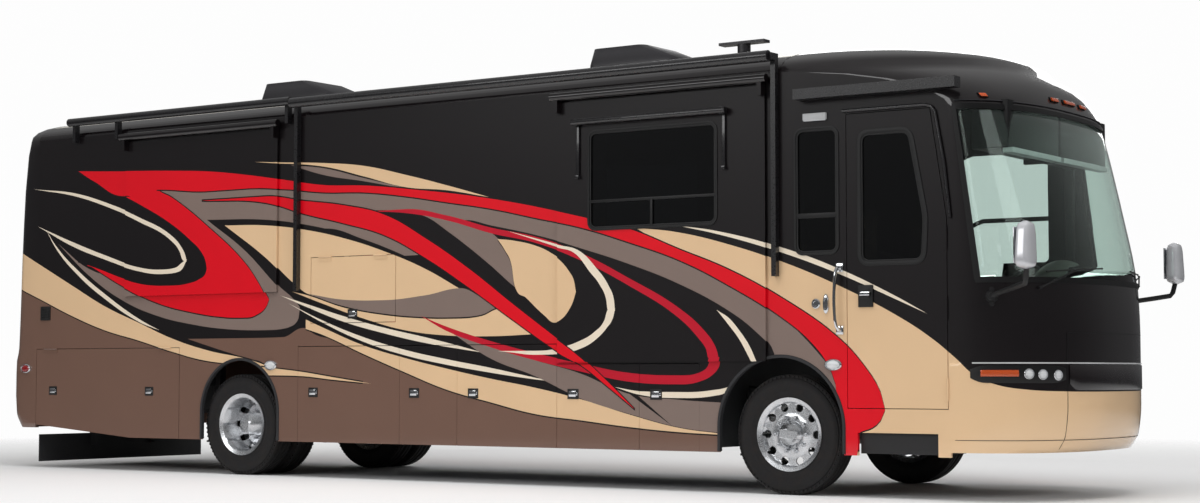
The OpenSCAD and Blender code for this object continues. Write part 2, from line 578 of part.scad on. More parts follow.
module rear_rims(s) color("#c9ccd0") translate([rear_axle_x, 0, axle_z]) rotate([0, 0, s > 0 ? 180 : 0]) {
    mid = (dual_outer + dual_inner) / 2;
    disc_wheel(-dual_outer, mid - dual_outer + 8, 110, 40, dual_outer - hub_end);
    disc_wheel(-dual_inner, mid - dual_inner - 8, 110, 40, dual_inner - hub_end);
    translate([0, -dual_outer + 60, 0]) rotate([90, 0, 0]) cylinder(h = 100, r = 95);
}
module rear_right_tyres() rear_tyres(-1);
module rear_left_tyres() rear_tyres(1);
module rear_right_rims() rear_rims(-1);
module rear_left_rims() rear_rims(1);
module rear_axle() color("#2c2e30") translate([rear_axle_x, 0, axle_z]) {
    rotate([90, 0, 0]) cylinder(h = 2 * (hub_end - 15), r = 85, center = true);
    rotate([90, 0, 0]) cylinder(h = 2 * (dual_outer - 70), r = spindle_r, center = true);
    sphere(r = 210);
    for (s = [-1, 1]) block(-90, 90, s * rail_y - 40, s * rail_y + 40, 0, rail_z - axle_z);
}
module engine_block() color("#4b4f52") {
    y = rail_y - rail_w / 2;
    block(rear_x + 360, min(rear_x + 1500, rear_axle_x - 850), -y, y, 560, belt_z - 20);
}
jack_x = [-first_door + 90, rear_axle_x - 980];
module levelling_jacks() color("#2c2e30") for (x = jack_x) for (s = [-1, 1]) {
    rail = rail_y + rail_w / 2;
    y = s * (rail + 90);
    translate([x, y, 300]) cylinder(h = 560, r = 45);
    translate([x, y, 285]) cylinder(h = 16, r = 110);
    block(x - 60, x + 60, s > 0 ? rail : y, s > 0 ? y : -rail, rail_z + 40, rail_z + 200);
}
module rock_guard() color("#3a3a3a") {
    x = rear_x + 360;
    block(x, x + 12, 100 - half_w, half_w - 100, 60, 345);
    for (s = [-1, 1]) block(x + 12, x + 90, s * rail_y - rail_w / 2, s * rail_y + rail_w / 2, 220, rail_z);
}
module entry_step() color("#202122") {
    difference() {
        block(step_x0, step_x1, -half_w + 45, -half_w + 520, step_z1 - 180, step_z1);
        block(step_x0 + 25, step_x1 - 25, -half_w + 120, -half_w + 521, step_z1 - 155, step_z1 - 25);
    }
    for (x = [step_x0 + 20, step_x1 - 60])
        block(x, x + 40, -half_w + 120, -half_w + 480, step_z1, well_z);
}

// ---------- root body: cab, roof and outside fittings ----------
module dashboard() color("#3b3a38") {
    clear = cap_t + 10;
    front = [for (k = [0 : 24]) let (q = front_pt(sill_z - 60, 0, 80 - 160 * k / 24, clear)) [q[0], q[1]]];
    y = half_w - cap_t - 40;
    back = cap_seam - 20;
    translate([0, 0, floor_top + 100]) linear_extrude(sill_z - floor_top - 130)
        polygon(concat([[back, -y]], front, [[back, y]]));
    difference() {
        block(back - 180, back, driver_y - 270, driver_y + 280, floor_top + 130, sill_z - 10);
        at_wheel() rotate([180, 0, 0]) cylinder(h = column + seat_gap, r = column_r + seat_gap);
    }
    block(back - 60, back, -60, 60, floor_top, floor_top + 100);
}
driver_y = 620;
wheel_tilt = 55;
wheel_r = 205;                                  // steering wheel's rim
column = 105;
column_r = 28;
module at_wheel() { translate([1215, driver_y, floor_top + 440]) rotate([0, wheel_tilt - 90, 0]) children(); }
module steering_wheel() color("#242424") at_wheel() {
    rotate_extrude() translate([wheel_r, 0]) circle(15);
    cylinder(h = 24, r = 45, center = true);
    for (a = [90, 210, 330]) rotate([0, 90, a]) cylinder(h = wheel_r - 5, r = 11);
    rotate([180, 0, 0]) cylinder(h = column, r = column_r);
}
module cab_seats() color("#6c5d50") for (y = [-560, driver_y]) {
    block(420, 780, y - 180, y + 180, floor_top, floor_top + 260);
    block(330, 860, y - 260, y + 260, floor_top + 260, floor_top + 390);
    block(270, 400, y - 250, y + 250, floor_top + 390, floor_top + 1060);
}
wiper_seat = seat_gap;                          // pivots stand this far off the curved cap
mirror_x = front_overhang - 100;
mirror_y = half_w + 320;
module mirrors() color("#202122") for (s = [0, 1]) mirror([0, s, 0]) {
    foot = front_pt(sill_z - 130, 0, -56, -2.4);
    hull() for (dx = [-35, 25]) for (dy = [-75, 75])
        translate([mirror_x + dx, mirror_y + dy, 1750]) cylinder(h = 370, r = 40, $fn = 24);
    elbow = [mirror_x - 40, mirror_y - 60, 1600];
    rod([mirror_x - 10, mirror_y, 1800], elbow, 16);
    rod(elbow, foot, 16);
    translate(elbow) sphere(24);
}
function on_glass(z, u) = front_pt(z, 0, u, -18);
function from_to(a, b, n) = [for (i = [0 : n]) a + (b - a) * i / n];
module bent_rod(points, r) {
    for (i = [0 : len(points) - 2]) rod(points[i], points[i + 1], r);
    for (q = points) translate(q) sphere(1.35 * r);
}
wiper_z = sill_z - 60;
module wipers() color("#1a1a1a") for (s = [-1, 1]) {
    rod(front_pt(wiper_z, 0, s * 46, -wiper_seat), front_pt(wiper_z, 0, s * 46, -34), 12);
    bent_rod([for (t = from_to(0, 1, 2)) on_glass(wiper_z + 140 * t, s * (46 - 20 * t))], 7);
    bent_rod([for (t = from_to(0, 1, 3)) on_glass(wiper_z + 125 + 40 * t, s * (42 - 33 * t))], 6);
}
ac_x = [rear_axle_x - 140, -2100];
module corner_posts(x0, x1, y, z, h, r) {
    for (x = [x0, x1]) for (s = [-y, y]) translate([x, s, z]) cylinder(h = h, r = r, $fn = 32);
}
module air_conditioners() color("#d6d3cc") for (x = ac_x) hull() {
    corner_posts(x - 420, x + 400, 290, crown_z + seat_gap, 118, 70);
    corner_posts(x - 400, x + 20, 230, crown_z + 190, 85, 80);
}
module roof_antenna() color("#d6d3cc") {
    x = -1120;
    block(x - 200, x + 200, -110, 110, crown_z + seat_gap, crown_z + 60);
    translate([x, 0, crown_z + 60]) cylinder(h = 170, r = 60);
    block(x - 235, x + 235, -55, 55, crown_z + 230, crown_z + 255);
}
arm_x = [rear_axle_x + 790, -60];
roller_y = -half_w - 120;
roller_z = shoulder_z + 120;
module patio_awning() color("#26272a") {
    for (x = arm_x) {
        block(x - 22, x + 22, -half_w - 55, -half_w, 1775, roller_z + 30);
        block(x - 22, x + 22, roller_y, -half_w - 20, roller_z - 25, roller_z + 30);
    }
    translate([arm_x[0], roller_y, roller_z]) rotate([0, 90, 0]) cylinder(h = arm_x[1] - arm_x[0], r = 48);
    x0 = rear_x + 960;
    x1 = arm_x[0] - 60;
    translate([x0, -half_w - 70, roller_z + 30]) rotate([0, 90, 0]) cylinder(h = x1 - x0, r = 42);
    for (x = [x0 + 60, bedroom_x0 - flange - 110, x1 - 60])
        block(x - 20, x + 20, -half_w - 60, -half_w, shoulder_z - 60, roller_z + 30);
}
module door_awning() color("#26272a") {
    block(156, 1580, -half_w - 110, -half_w, head_z + 140, head_z + 225);
}

// ---------- doors ----------
tail_rise = 115;                                // the skirt's lower edge rises to the tail
tail_rise_share = 0.67;
module entry_door() color("#231f20") {
    side_plate(-1, entry_t) difference() {
        entry_outline(0);
        entry_window_shape(0);
    }
    for (z = [entry_bottom_z + 60, 1400, entry_knee_z - 240])
        upright_hinge(-1, entry_rear + entry_width, z, z + 180);
}
module entry_window_shape(grow) {
    x0 = entry_rear + 130 - grow;
    polygon([[x0, 1870 - grow], [entry_rear + 660 + grow, 1870 - grow], [entry_rear + 680 + grow, 2200],
             [entry_rear + 550 + grow, head_z - 165 + grow], [x0, head_z - 165 + grow]]);
}
module entry_door_glass() color("#3c4a4a", 0.5) side_plate(-1, glass_t, -10) entry_window_shape(0);
module bay_door(shares, k, sgn, top) {
    x1 = seam(shares, k) - gap / 2;
    x0 = seam(shares, k + 1) + gap / 2;
    side_plate(sgn, door_t) rect(x0, x1, skirt_z, top);
    translate([x1, sgn * (half_w - gap / 2), skirt_z + 20])
        cylinder(h = top - skirt_z - 40, r = gap / 2 - seat_gap);
}
module right_bay_door_1() color("#6f5448") bay_door(right_shares, 0, -1, low_door_top);
module right_bay_door_2() color("#6f5448") bay_door(right_shares, 1, -1, low_door_top);
module right_bay_door_3() color("#6f5448") bay_door(right_shares, 2, -1, door_top);
module right_bay_door_4() color("#6f5448") bay_door(right_shares, 3, -1, door_top);
module right_bay_door_5() color("#6f5448") bay_door(right_shares, 4, -1, door_top);
module left_bay_door_1() color("#6f5448") bay_door(left_shares, 0, 1, low_door_top);
module left_bay_door_2() color("#6f5448") bay_door(left_shares, 1, 1, low_door_top);
module left_bay_door_3() color("#6f5448") bay_door(left_shares, 2, 1, low_door_top);
module rear_side_door(sgn) color("#6f5448") {
    x0 = rear_seam + gap;
    x1 = rear_axle_x - rear_door_front - gap;
    side_plate(sgn, door_t) polygon([[x0, skirt_z + tail_rise], [x0 + tail_rise_share * (x1 - x0), skirt_z],
                                     [x1, skirt_z], [x1, door_top], [x0, door_top]]);
    for (x = [x0 + 120, x1 - 320]) level_hinge(sgn, x, x + 200, door_top);
}
module right_rear_door() rear_side_door(-1);
module left_rear_door() rear_side_door(1);
module fridge_door() color("#1d1b1c") {
    side_plate(-1, door_t) rect(fridge_hatch[0], fridge_hatch[1], fridge_hatch[2], fridge_hatch[3]);
    for (x = [fridge_hatch[0] + 100, fridge_hatch[1] - 260]) level_hinge(-1, x, x + 160, fridge_hatch[3]);
}

// ---------- slide-outs ----------
// Open box behind a fascia; x0..x1 and z0..z1 bound the box, low is the fascia's lower edge
module slide_box(x0, x1, z0, z1, low, depth, window) {
    face = -half_w - slide_proud;
    difference() {
        union() {
            block(x0, x1, face, -half_w + depth, z0, z1);
            block(x0 - flange, x1 + flange, face, -half_w - 5, low, z1 + 30);
        }
        block(x0 + slide_t, x1 - slide_t, face + slide_t + 10, 1, z0 + slide_t, z1 - slide_t);
        if (len(window) > 0)
            translate([0, face + 200, 0]) rotate([90, 0, 0]) linear_extrude(250) window_cut(window);
    }
    for (x = [x0 + 150, x1 - 210])
        block(x, x + 60, -half_w - 5, -half_w + depth, z0 - run_gap + seat_gap, z0 + slide_t);
    roller = face - 40;
    translate([x0 - flange - 40, roller, z1 + 80]) rotate([0, 90, 0])
        cylinder(h = x1 - x0 + 2 * flange + 80, r = 36);
    for (x = [x0 - flange, x1 + flange - 40]) block(x, x + 40, roller - 20, -half_w - 5, z1 - 60, z1 + 80);
}
module lounge_slide() color("#1d1b1c")
    slide_box(lounge_x0, lounge_x1, slide_floor, slide_top, pelmet_z, 620, lounge_window);
module bedroom_slide() color("#1d1b1c")
    slide_box(bedroom_x0, bedroom_x1, bedroom_z, slide_top, bedroom_z - 20, 620, []);
module galley_slide() color("#1d1b1c") mirror([0, 1, 0])
    slide_box(galley_x0, galley_x1, slide_floor, slide_top, pelmet_z, 740, galley_window);
module lounge_glass() color("#3c4a4a", 0.5) side_plate(-1, glass_t, slide_proud - 12) window_cut(lounge_window);
module galley_glass() color("#3c4a4a", 0.5) side_plate(1, glass_t, slide_proud - 12) window_cut(galley_window);

module place() { translate([axle_x, 0, 0]) children(); }
place() chassis_frame();
place() front_axle();
place() rear_axle();
place() engine_block();
place() house_floor();
place() storage_bays();
place() right_wall();
place() left_wall();
place() skirt_panels();
place() roof();
place() front_cap();
place() front_bumper();
place() windshield();
place() rear_cap();
place() window_glass();
place() lamps();
place() dashboard();
place() steering_wheel();
place() cab_seats();
place() mirrors();
place() wipers();
place() air_conditioners();
place() roof_antenna();
place() patio_awning();
place() door_awning();
place() entry_step();
place() levelling_jacks();
place() rock_guard();
place() right_knuckle();
place() left_knuckle();
place() front_right_tyre();
place() front_right_rim();
place() front_left_tyre();
place() front_left_rim();
place() rear_right_tyres();
place() rear_right_rims();
place() rear_left_tyres();
place() rear_left_rims();
place() entry_door();
place() entry_door_glass();
place() right_bay_door_1();
place() right_bay_door_2();
place() right_bay_door_3();
place() right_bay_door_4();
place() right_bay_door_5();
place() right_rear_door();
place() fridge_door();
place() left_bay_door_1();
place() left_bay_door_2();
place() left_bay_door_3();
place() left_rear_door();
place() engine_hatch();
place() lounge_slide();
place() lounge_glass();
place() bedroom_slide();
place() galley_slide();
place() galley_glass();
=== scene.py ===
import math

import bmesh
import bpy
from bpy.props import FloatProperty, FloatVectorProperty, IntProperty, PointerProperty
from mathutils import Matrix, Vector


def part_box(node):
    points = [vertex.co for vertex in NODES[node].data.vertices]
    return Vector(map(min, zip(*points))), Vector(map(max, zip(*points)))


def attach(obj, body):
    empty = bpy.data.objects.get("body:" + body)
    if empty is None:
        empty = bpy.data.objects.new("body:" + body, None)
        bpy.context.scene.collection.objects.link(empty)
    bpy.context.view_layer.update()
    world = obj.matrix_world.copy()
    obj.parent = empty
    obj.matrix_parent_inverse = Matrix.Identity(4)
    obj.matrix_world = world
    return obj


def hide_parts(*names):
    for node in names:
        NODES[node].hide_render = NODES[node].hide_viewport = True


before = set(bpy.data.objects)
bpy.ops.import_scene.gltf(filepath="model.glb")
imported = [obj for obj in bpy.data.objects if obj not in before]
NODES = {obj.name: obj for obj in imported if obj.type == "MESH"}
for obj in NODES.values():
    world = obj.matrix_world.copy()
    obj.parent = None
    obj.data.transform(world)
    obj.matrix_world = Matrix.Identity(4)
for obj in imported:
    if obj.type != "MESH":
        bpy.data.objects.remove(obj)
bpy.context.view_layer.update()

bl_info = {
    "name": "Motorhome finish",
    "version": (1, 0, 0),
    "blender": (4, 5, 0),
    "location": "3D View > Sidebar > Motorhome",
    "description": "Paint sweeps, tyres, trim, lamps, glass and seats for a class A motorhome",
    "category": "Object",
}

AXLE = (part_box("front_right_tyre")[0].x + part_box("front_right_tyre")[1].x) / 2
REAR_AXLE = (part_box("rear_right_tyres")[0].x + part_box("rear_right_tyres")[1].x) / 2
HALF_W = -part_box("right_wall")[0].y
TYRE_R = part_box("front_right_tyre")[1].z / 2
# wheel body, tyre node, rim node, axle place, side (-1 is the right)
WHEELS = (("front_right_wheel", "front_right_tyre", "front_right_rim", AXLE, -1),
          ("front_left_wheel", "front_left_tyre", "front_left_rim", AXLE, 1),
          ("rear_right_wheels", "rear_right_tyres", "rear_right_rims", REAR_AXLE, -1),
          ("rear_left_wheels", "rear_left_tyres", "rear_left_rims", REAR_AXLE, 1))
TYRE_W = 0.265
STUD_RING = 0.1425
HAND_HOLES, HAND_HOLE_RING, HAND_HOLE_R = 10, 0.226, 0.034
LATCH_Z = 0.808
CAB_FLOOR = 1.33
ARCH_TOP, ARCH_FOOT = 1.125, 0.345
MATERIALS = {}


def srgb(code):
    """Linear colour from a six-figure hexadecimal one."""
    parts = [int(code[i:i + 2], 16) / 255 for i in (0, 2, 4)]
    return [p / 12.92 if p <= 0.04045 else ((p + 0.055) / 1.055) ** 2.4 for p in parts] + [1.0]


# ---------- studio: metres, millimetres of lens, degrees ----------
CAMERA_PLACE = (12.029, -16.173, 0.980)
CAMERA_LENS, CAMERA_SENSOR = 63.04, 36.0
CAMERA_TILT, CAMERA_TURN = 3.34, 34.63
FLOOR_R = 70.0
FLOOR_FADE = (7.0, 15.0)

# ---------- the front cap's surface, in metres from the front axle ----------
CAP_SEAM, ROOF_JOINT, OVERHANG, ROOF_RISE = 1.47, -0.02, 2.35, 0.26
HEAD_Z, SHOULDER_Z, SILL_Z = 3.055, 3.45, 1.705
NOSE = [(0.375, 0.11), (0.505, 0.028), (0.75, 0.0), (1.3, 0.0), (1.705, 0.018), (2.305, 0.145),
        (3.055, 0.365), (3.292, 0.47), (3.45, 0.67)]


def smooth_at(points, v):
    """Monotone cubic through (place, value) points."""
    def secant(k):
        """Slope of the straight piece after point k."""
        k = min(max(k, 0), len(points) - 2)
        return (points[k + 1][1] - points[k][1]) / (points[k + 1][0] - points[k][0])

    def slope(k):
        """Slope at point k, level where the points turn back."""
        a, b = secant(k - 1), secant(k)
        return 0 if a * b <= 0 else 2 * a * b / (a + b)
    v = min(max(v, points[0][0]), points[-1][0])
    i = max(k for k in range(len(points) - 1) if k == 0 or v >= points[k][0])
    w = points[i + 1][0] - points[i][0]
    t = (v - points[i][0]) / w
    return (points[i][1] * (2 * t ** 3 - 3 * t * t + 1) + points[i + 1][1] * (3 * t * t - 2 * t ** 3)
            + w * slope(i) * (t ** 3 - 2 * t * t + t) + w * slope(i + 1) * (t ** 3 - t * t))


def front_point(z, u, out=0.0):
    """A place on the cap, u degrees round from the middle (plus is the right side), out metres off it."""
    if z <= HEAD_Z:
        root = CAP_SEAM
    else:
        drop = 1 - ((z - HEAD_Z) / (SHOULDER_Z - HEAD_Z)) ** 2
        root = ROOF_JOINT + (CAP_SEAM - ROOF_JOINT) * max(0, drop) ** 0.8
    tip = OVERHANG - smooth_at(NOSE, z) + out
    t = math.radians(u)
    return Vector((AXLE + root + (tip - root) * abs(math.cos(t)) ** (2 / 2.19),
                   -(HALF_W + out) * math.copysign(abs(math.sin(t)) ** (2 / 2.6), t), z))


# ---------- shader helpers ----------
class Nodes:
    """A node tree being filled, with short ways to add and join nodes."""

    def __init__(self, tree):
        self.tree = tree

    def add(self, kind, **settings):
        """A new node with its settings."""
        node = self.tree.nodes.new(kind)
        for key, value in settings.items():
            setattr(node, key, value)
        return node

    def link(self, a, b):
        """Joins an output to an input."""
        self.tree.links.new(a, b)

    def feed(self, socket, value):
        """Gives an input a plain value or another node's output."""
        if isinstance(value, bpy.types.NodeSocket):
            self.link(value, socket)
        else:
            socket.default_value = value

    def math(self, operation, *values, clamp=False):
        """One sum on values or outputs."""
        node = self.add("ShaderNodeMath", operation=operation, use_clamp=clamp)
        for i, value in enumerate(values):
            self.feed(node.inputs[i], value)
        return node.outputs[0]

    def mix(self, fac, a, b, blend="MIX"):
        """Two colours mixed."""
        node = self.add("ShaderNodeMix", data_type="RGBA", blend_type=blend)
        self.feed(node.inputs[0], fac)
        self.feed(node.inputs[6], a)
        self.feed(node.inputs[7], b)
        return node.outputs[2]

    def coords(self):
        """Object coordinates, in metres."""
        return self.add("ShaderNodeTexCoord").outputs["Object"]

    def split(self, vector):
        """X, Y and Z of a vector."""
        node = self.add("ShaderNodeSeparateXYZ")
        self.link(vector, node.inputs[0])
        return node.outputs

    def noise(self, vector, scale, detail=3.0, rough=0.55):
        """Noise between 0 and 1."""
        node = self.add("ShaderNodeTexNoise")
        self.link(vector, node.inputs["Vector"])
        node.inputs["Scale"].default_value = scale
        node.inputs["Detail"].default_value = detail
        node.inputs["Roughness"].default_value = rough
        return node.outputs["Fac"]

    def ramp(self, fac, low, high, a, b):
        """Maps low..high onto a..b."""
        node = self.add("ShaderNodeMapRange")
        self.feed(node.inputs[0], fac)
        for i, value in enumerate((low, high, a, b)):
            node.inputs[i + 1].default_value = value
        return node.outputs[0]

    def bump(self, height, strength, distance):
        """A normal bent by a height."""
        node = self.add("ShaderNodeBump")
        node.inputs["Strength"].default_value = strength
        node.inputs["Distance"].default_value = distance
        self.link(height, node.inputs["Height"])
        return node.outputs[0]


def material(name, **sockets):
    """A new Principled material; plain values are set on the shader's own sockets."""
    mat = bpy.data.materials.new(name)
    mat.use_nodes = True
    shader = mat.node_tree.nodes["Principled BSDF"]
    for key, value in sockets.items():
        shader.inputs[key].default_value = value
    return mat, Nodes(mat.node_tree), shader


def worn(name, code, rough, spread=0.12, grain=40.0, bump=0.15, depth=0.001, shade=0.25, **sockets):
    """A finish with mottled colour, uneven roughness and a fine grain."""
    mat, n, shader = material(name, **sockets)
    at = n.coords()
    broad = n.noise(at, 2.3)
    fine = n.noise(at, grain, 4.0)
    base = srgb(code)
    dark = [c * (1 - shade) for c in base[:3]] + [1]
    n.link(n.mix(n.ramp(broad, 0.3, 0.7, 0, 1), base, dark), shader.inputs["Base Color"])
    n.link(n.ramp(fine, 0.3, 0.7, rough - spread / 2, rough + spread / 2), shader.inputs["Roughness"])
    if bump:
        n.link(n.bump(fine, bump, depth), shader.inputs["Normal"])
    return mat


# ---------- painted sweeps: bands in metres from the front axle and the ground ----------
PAINTS = {"black": "0e090b", "brown": "74584b", "taupe": "83726a", "tan": "e6c39a", "cream": "f1e3cd",
          "red": "e0001a", "rose": "c20f2a", "red_join": "e0001a"}
LOW = 0.0
BROWN_EDGE = [(-9.5, 1.95), (-9.0, 1.77), (-8.5, 1.585), (-8.0, 1.43), (-7.5, 1.32), (-7.0, 1.2),
              (-6.6, 1.12), (-6.2, 1.08), (-5.6, 1.03)]
LONG_LOW = [(-7.3, 2.84), (-6.5, 2.79), (-6.0, 2.79), (-5.5, 2.76), (-5.0, 2.705), (-4.5, 2.68),
            (-4.0, 2.62), (-3.5, 2.54), (-3.0, 2.46), (-2.5, 2.355), (-2.0, 2.25), (-1.5, 2.105),
            (-1.0, 1.94), (-0.5, 1.71), (0.0, 1.43), (0.25, 1.24), (0.42, 1.03), (0.5, 0.78), (0.55, 0.3)]
BIG_LENS_TOP = [(-6.28, 2.44), (-5.75, 2.42), (-5.25, 2.36), (-4.75, 2.26), (-4.25, 2.12), (-3.75, 1.94),
                (-3.35, 1.75)]
BIG_LENS_LOW = [(-6.28, 2.44), (-5.75, 2.12), (-5.35, 1.83), (-5.2, 1.745), (-4.75, 1.68), (-4.25, 1.665),
                (-3.75, 1.7), (-3.35, 1.75)]
THICK_TOP = [(-6.6, 2.7), (-5.75, 2.7), (-5.25, 2.635), (-4.75, 2.57), (-4.25, 2.46), (-3.75, 2.22),
             (-3.25, 1.93), (-2.75, 1.6), (-2.25, 1.28), (-2.0, 1.12), (-1.75, 0.93), (-1.45, 0.68)]
THICK_LOW = [(-6.6, 2.7), (-5.75, 2.64), (-5.25, 2.51), (-4.75, 2.4), (-4.25, 2.27), (-3.75, 2.04),
             (-3.25, 1.76), (-2.75, 1.46), (-2.25, 1.17), (-2.0, 1.05), (-1.75, 0.885), (-1.45, 0.68)]
RING_TOP = [(-4.5, 2.5), (-4.0, 2.5), (-3.5, 2.42), (-3.0, 2.29), (-2.5, 2.19), (-2.0, 2.03), (-1.5, 1.8),
            (-1.0, 1.54), (-0.75, 1.35), (-0.63, 1.2), (-0.6, 1.1)]
RING_TOP_IN = [(-4.5, 2.5), (-4.0, 2.465), (-3.5, 2.375), (-3.0, 2.24), (-2.5, 2.135), (-2.0, 1.965),
               (-1.5, 1.735), (-1.0, 1.455), (-0.8, 1.28), (-0.72, 1.18), (-0.7, 1.11)]
RING_LOW = [(-3.8, 1.51), (-3.5, 1.37), (-3.0, 1.22), (-2.5, 1.1), (-2.0, 1.0), (-1.5, 0.915),
            (-1.0, 0.895), (-0.8, 0.92), (-0.67, 0.98), (-0.61, 1.05), (-0.6, 1.1)]
RING_LOW_IN = [(-3.8, 1.51), (-3.5, 1.41), (-3.0, 1.275), (-2.5, 1.165), (-2.0, 1.07), (-1.5, 0.99),
               (-1.0, 0.97), (-0.8, 0.995), (-0.72, 1.05), (-0.7, 1.11)]
S_EDGE = [(-8.42, 3.09), (-8.0, 2.91), (-7.5, 2.71), (-7.0, 2.47), (-6.75, 2.31), (-6.6, 2.19),
          (-6.54, 2.1), (-6.52, 2.02)]
HOOK_TOP = [(-8.42, 2.14), (-8.2, 2.09), (-7.75, 1.96), (-7.5, 1.9), (-7.25, 1.87), (-7.0, 1.865),
            (-6.75, 1.885), (-6.62, 1.92), (-6.54, 1.97), (-6.52, 2.02)]
LOWER_TAN_TOP = [(-5.22, 1.5), (-5.0, 1.42), (-4.5, 1.25), (-4.0, 1.13), (-3.5, 1.03), (-3.0, 0.94),
                 (-2.5, 0.86), (-2.0, 0.76), (-1.5, 0.635), (-1.0, 0.53), (-0.6, 0.49)]
LOWER_TAN_LOW = [(-5.22, 1.41), (-5.0, 1.35), (-4.5, 1.17), (-4.0, 1.0), (-3.5, 0.84), (-3.0, 0.73),
                 (-2.5, 0.63), (-2.0, 0.58), (-1.5, 0.53), (-1.0, 0.495), (-0.6, 0.48)]
FRONT_LINE = [(-1.42, 2.225), (-1.0, 2.17), (-0.5, 2.05), (0.0, 1.89), (0.5, 1.69), (1.0, 1.45),
              (1.3, 1.27), (1.52, 1.1), (1.66, 0.975), (1.82, 0.9), (2.03, 0.86), (2.2, 0.848),
              (2.4, 0.842)]


def thin(points, width):
    """Upper and lower edges of a stroke that tapers at both ends."""
    last = len(points) - 1
    half = [width / 2 * min(1, 3 * i / last, 3 * (last - i) / last) for i in range(last + 1)]
    return ([(x, z + h) for (x, z), h in zip(points, half)], [(x, z - h) for (x, z), h in zip(points, half)])


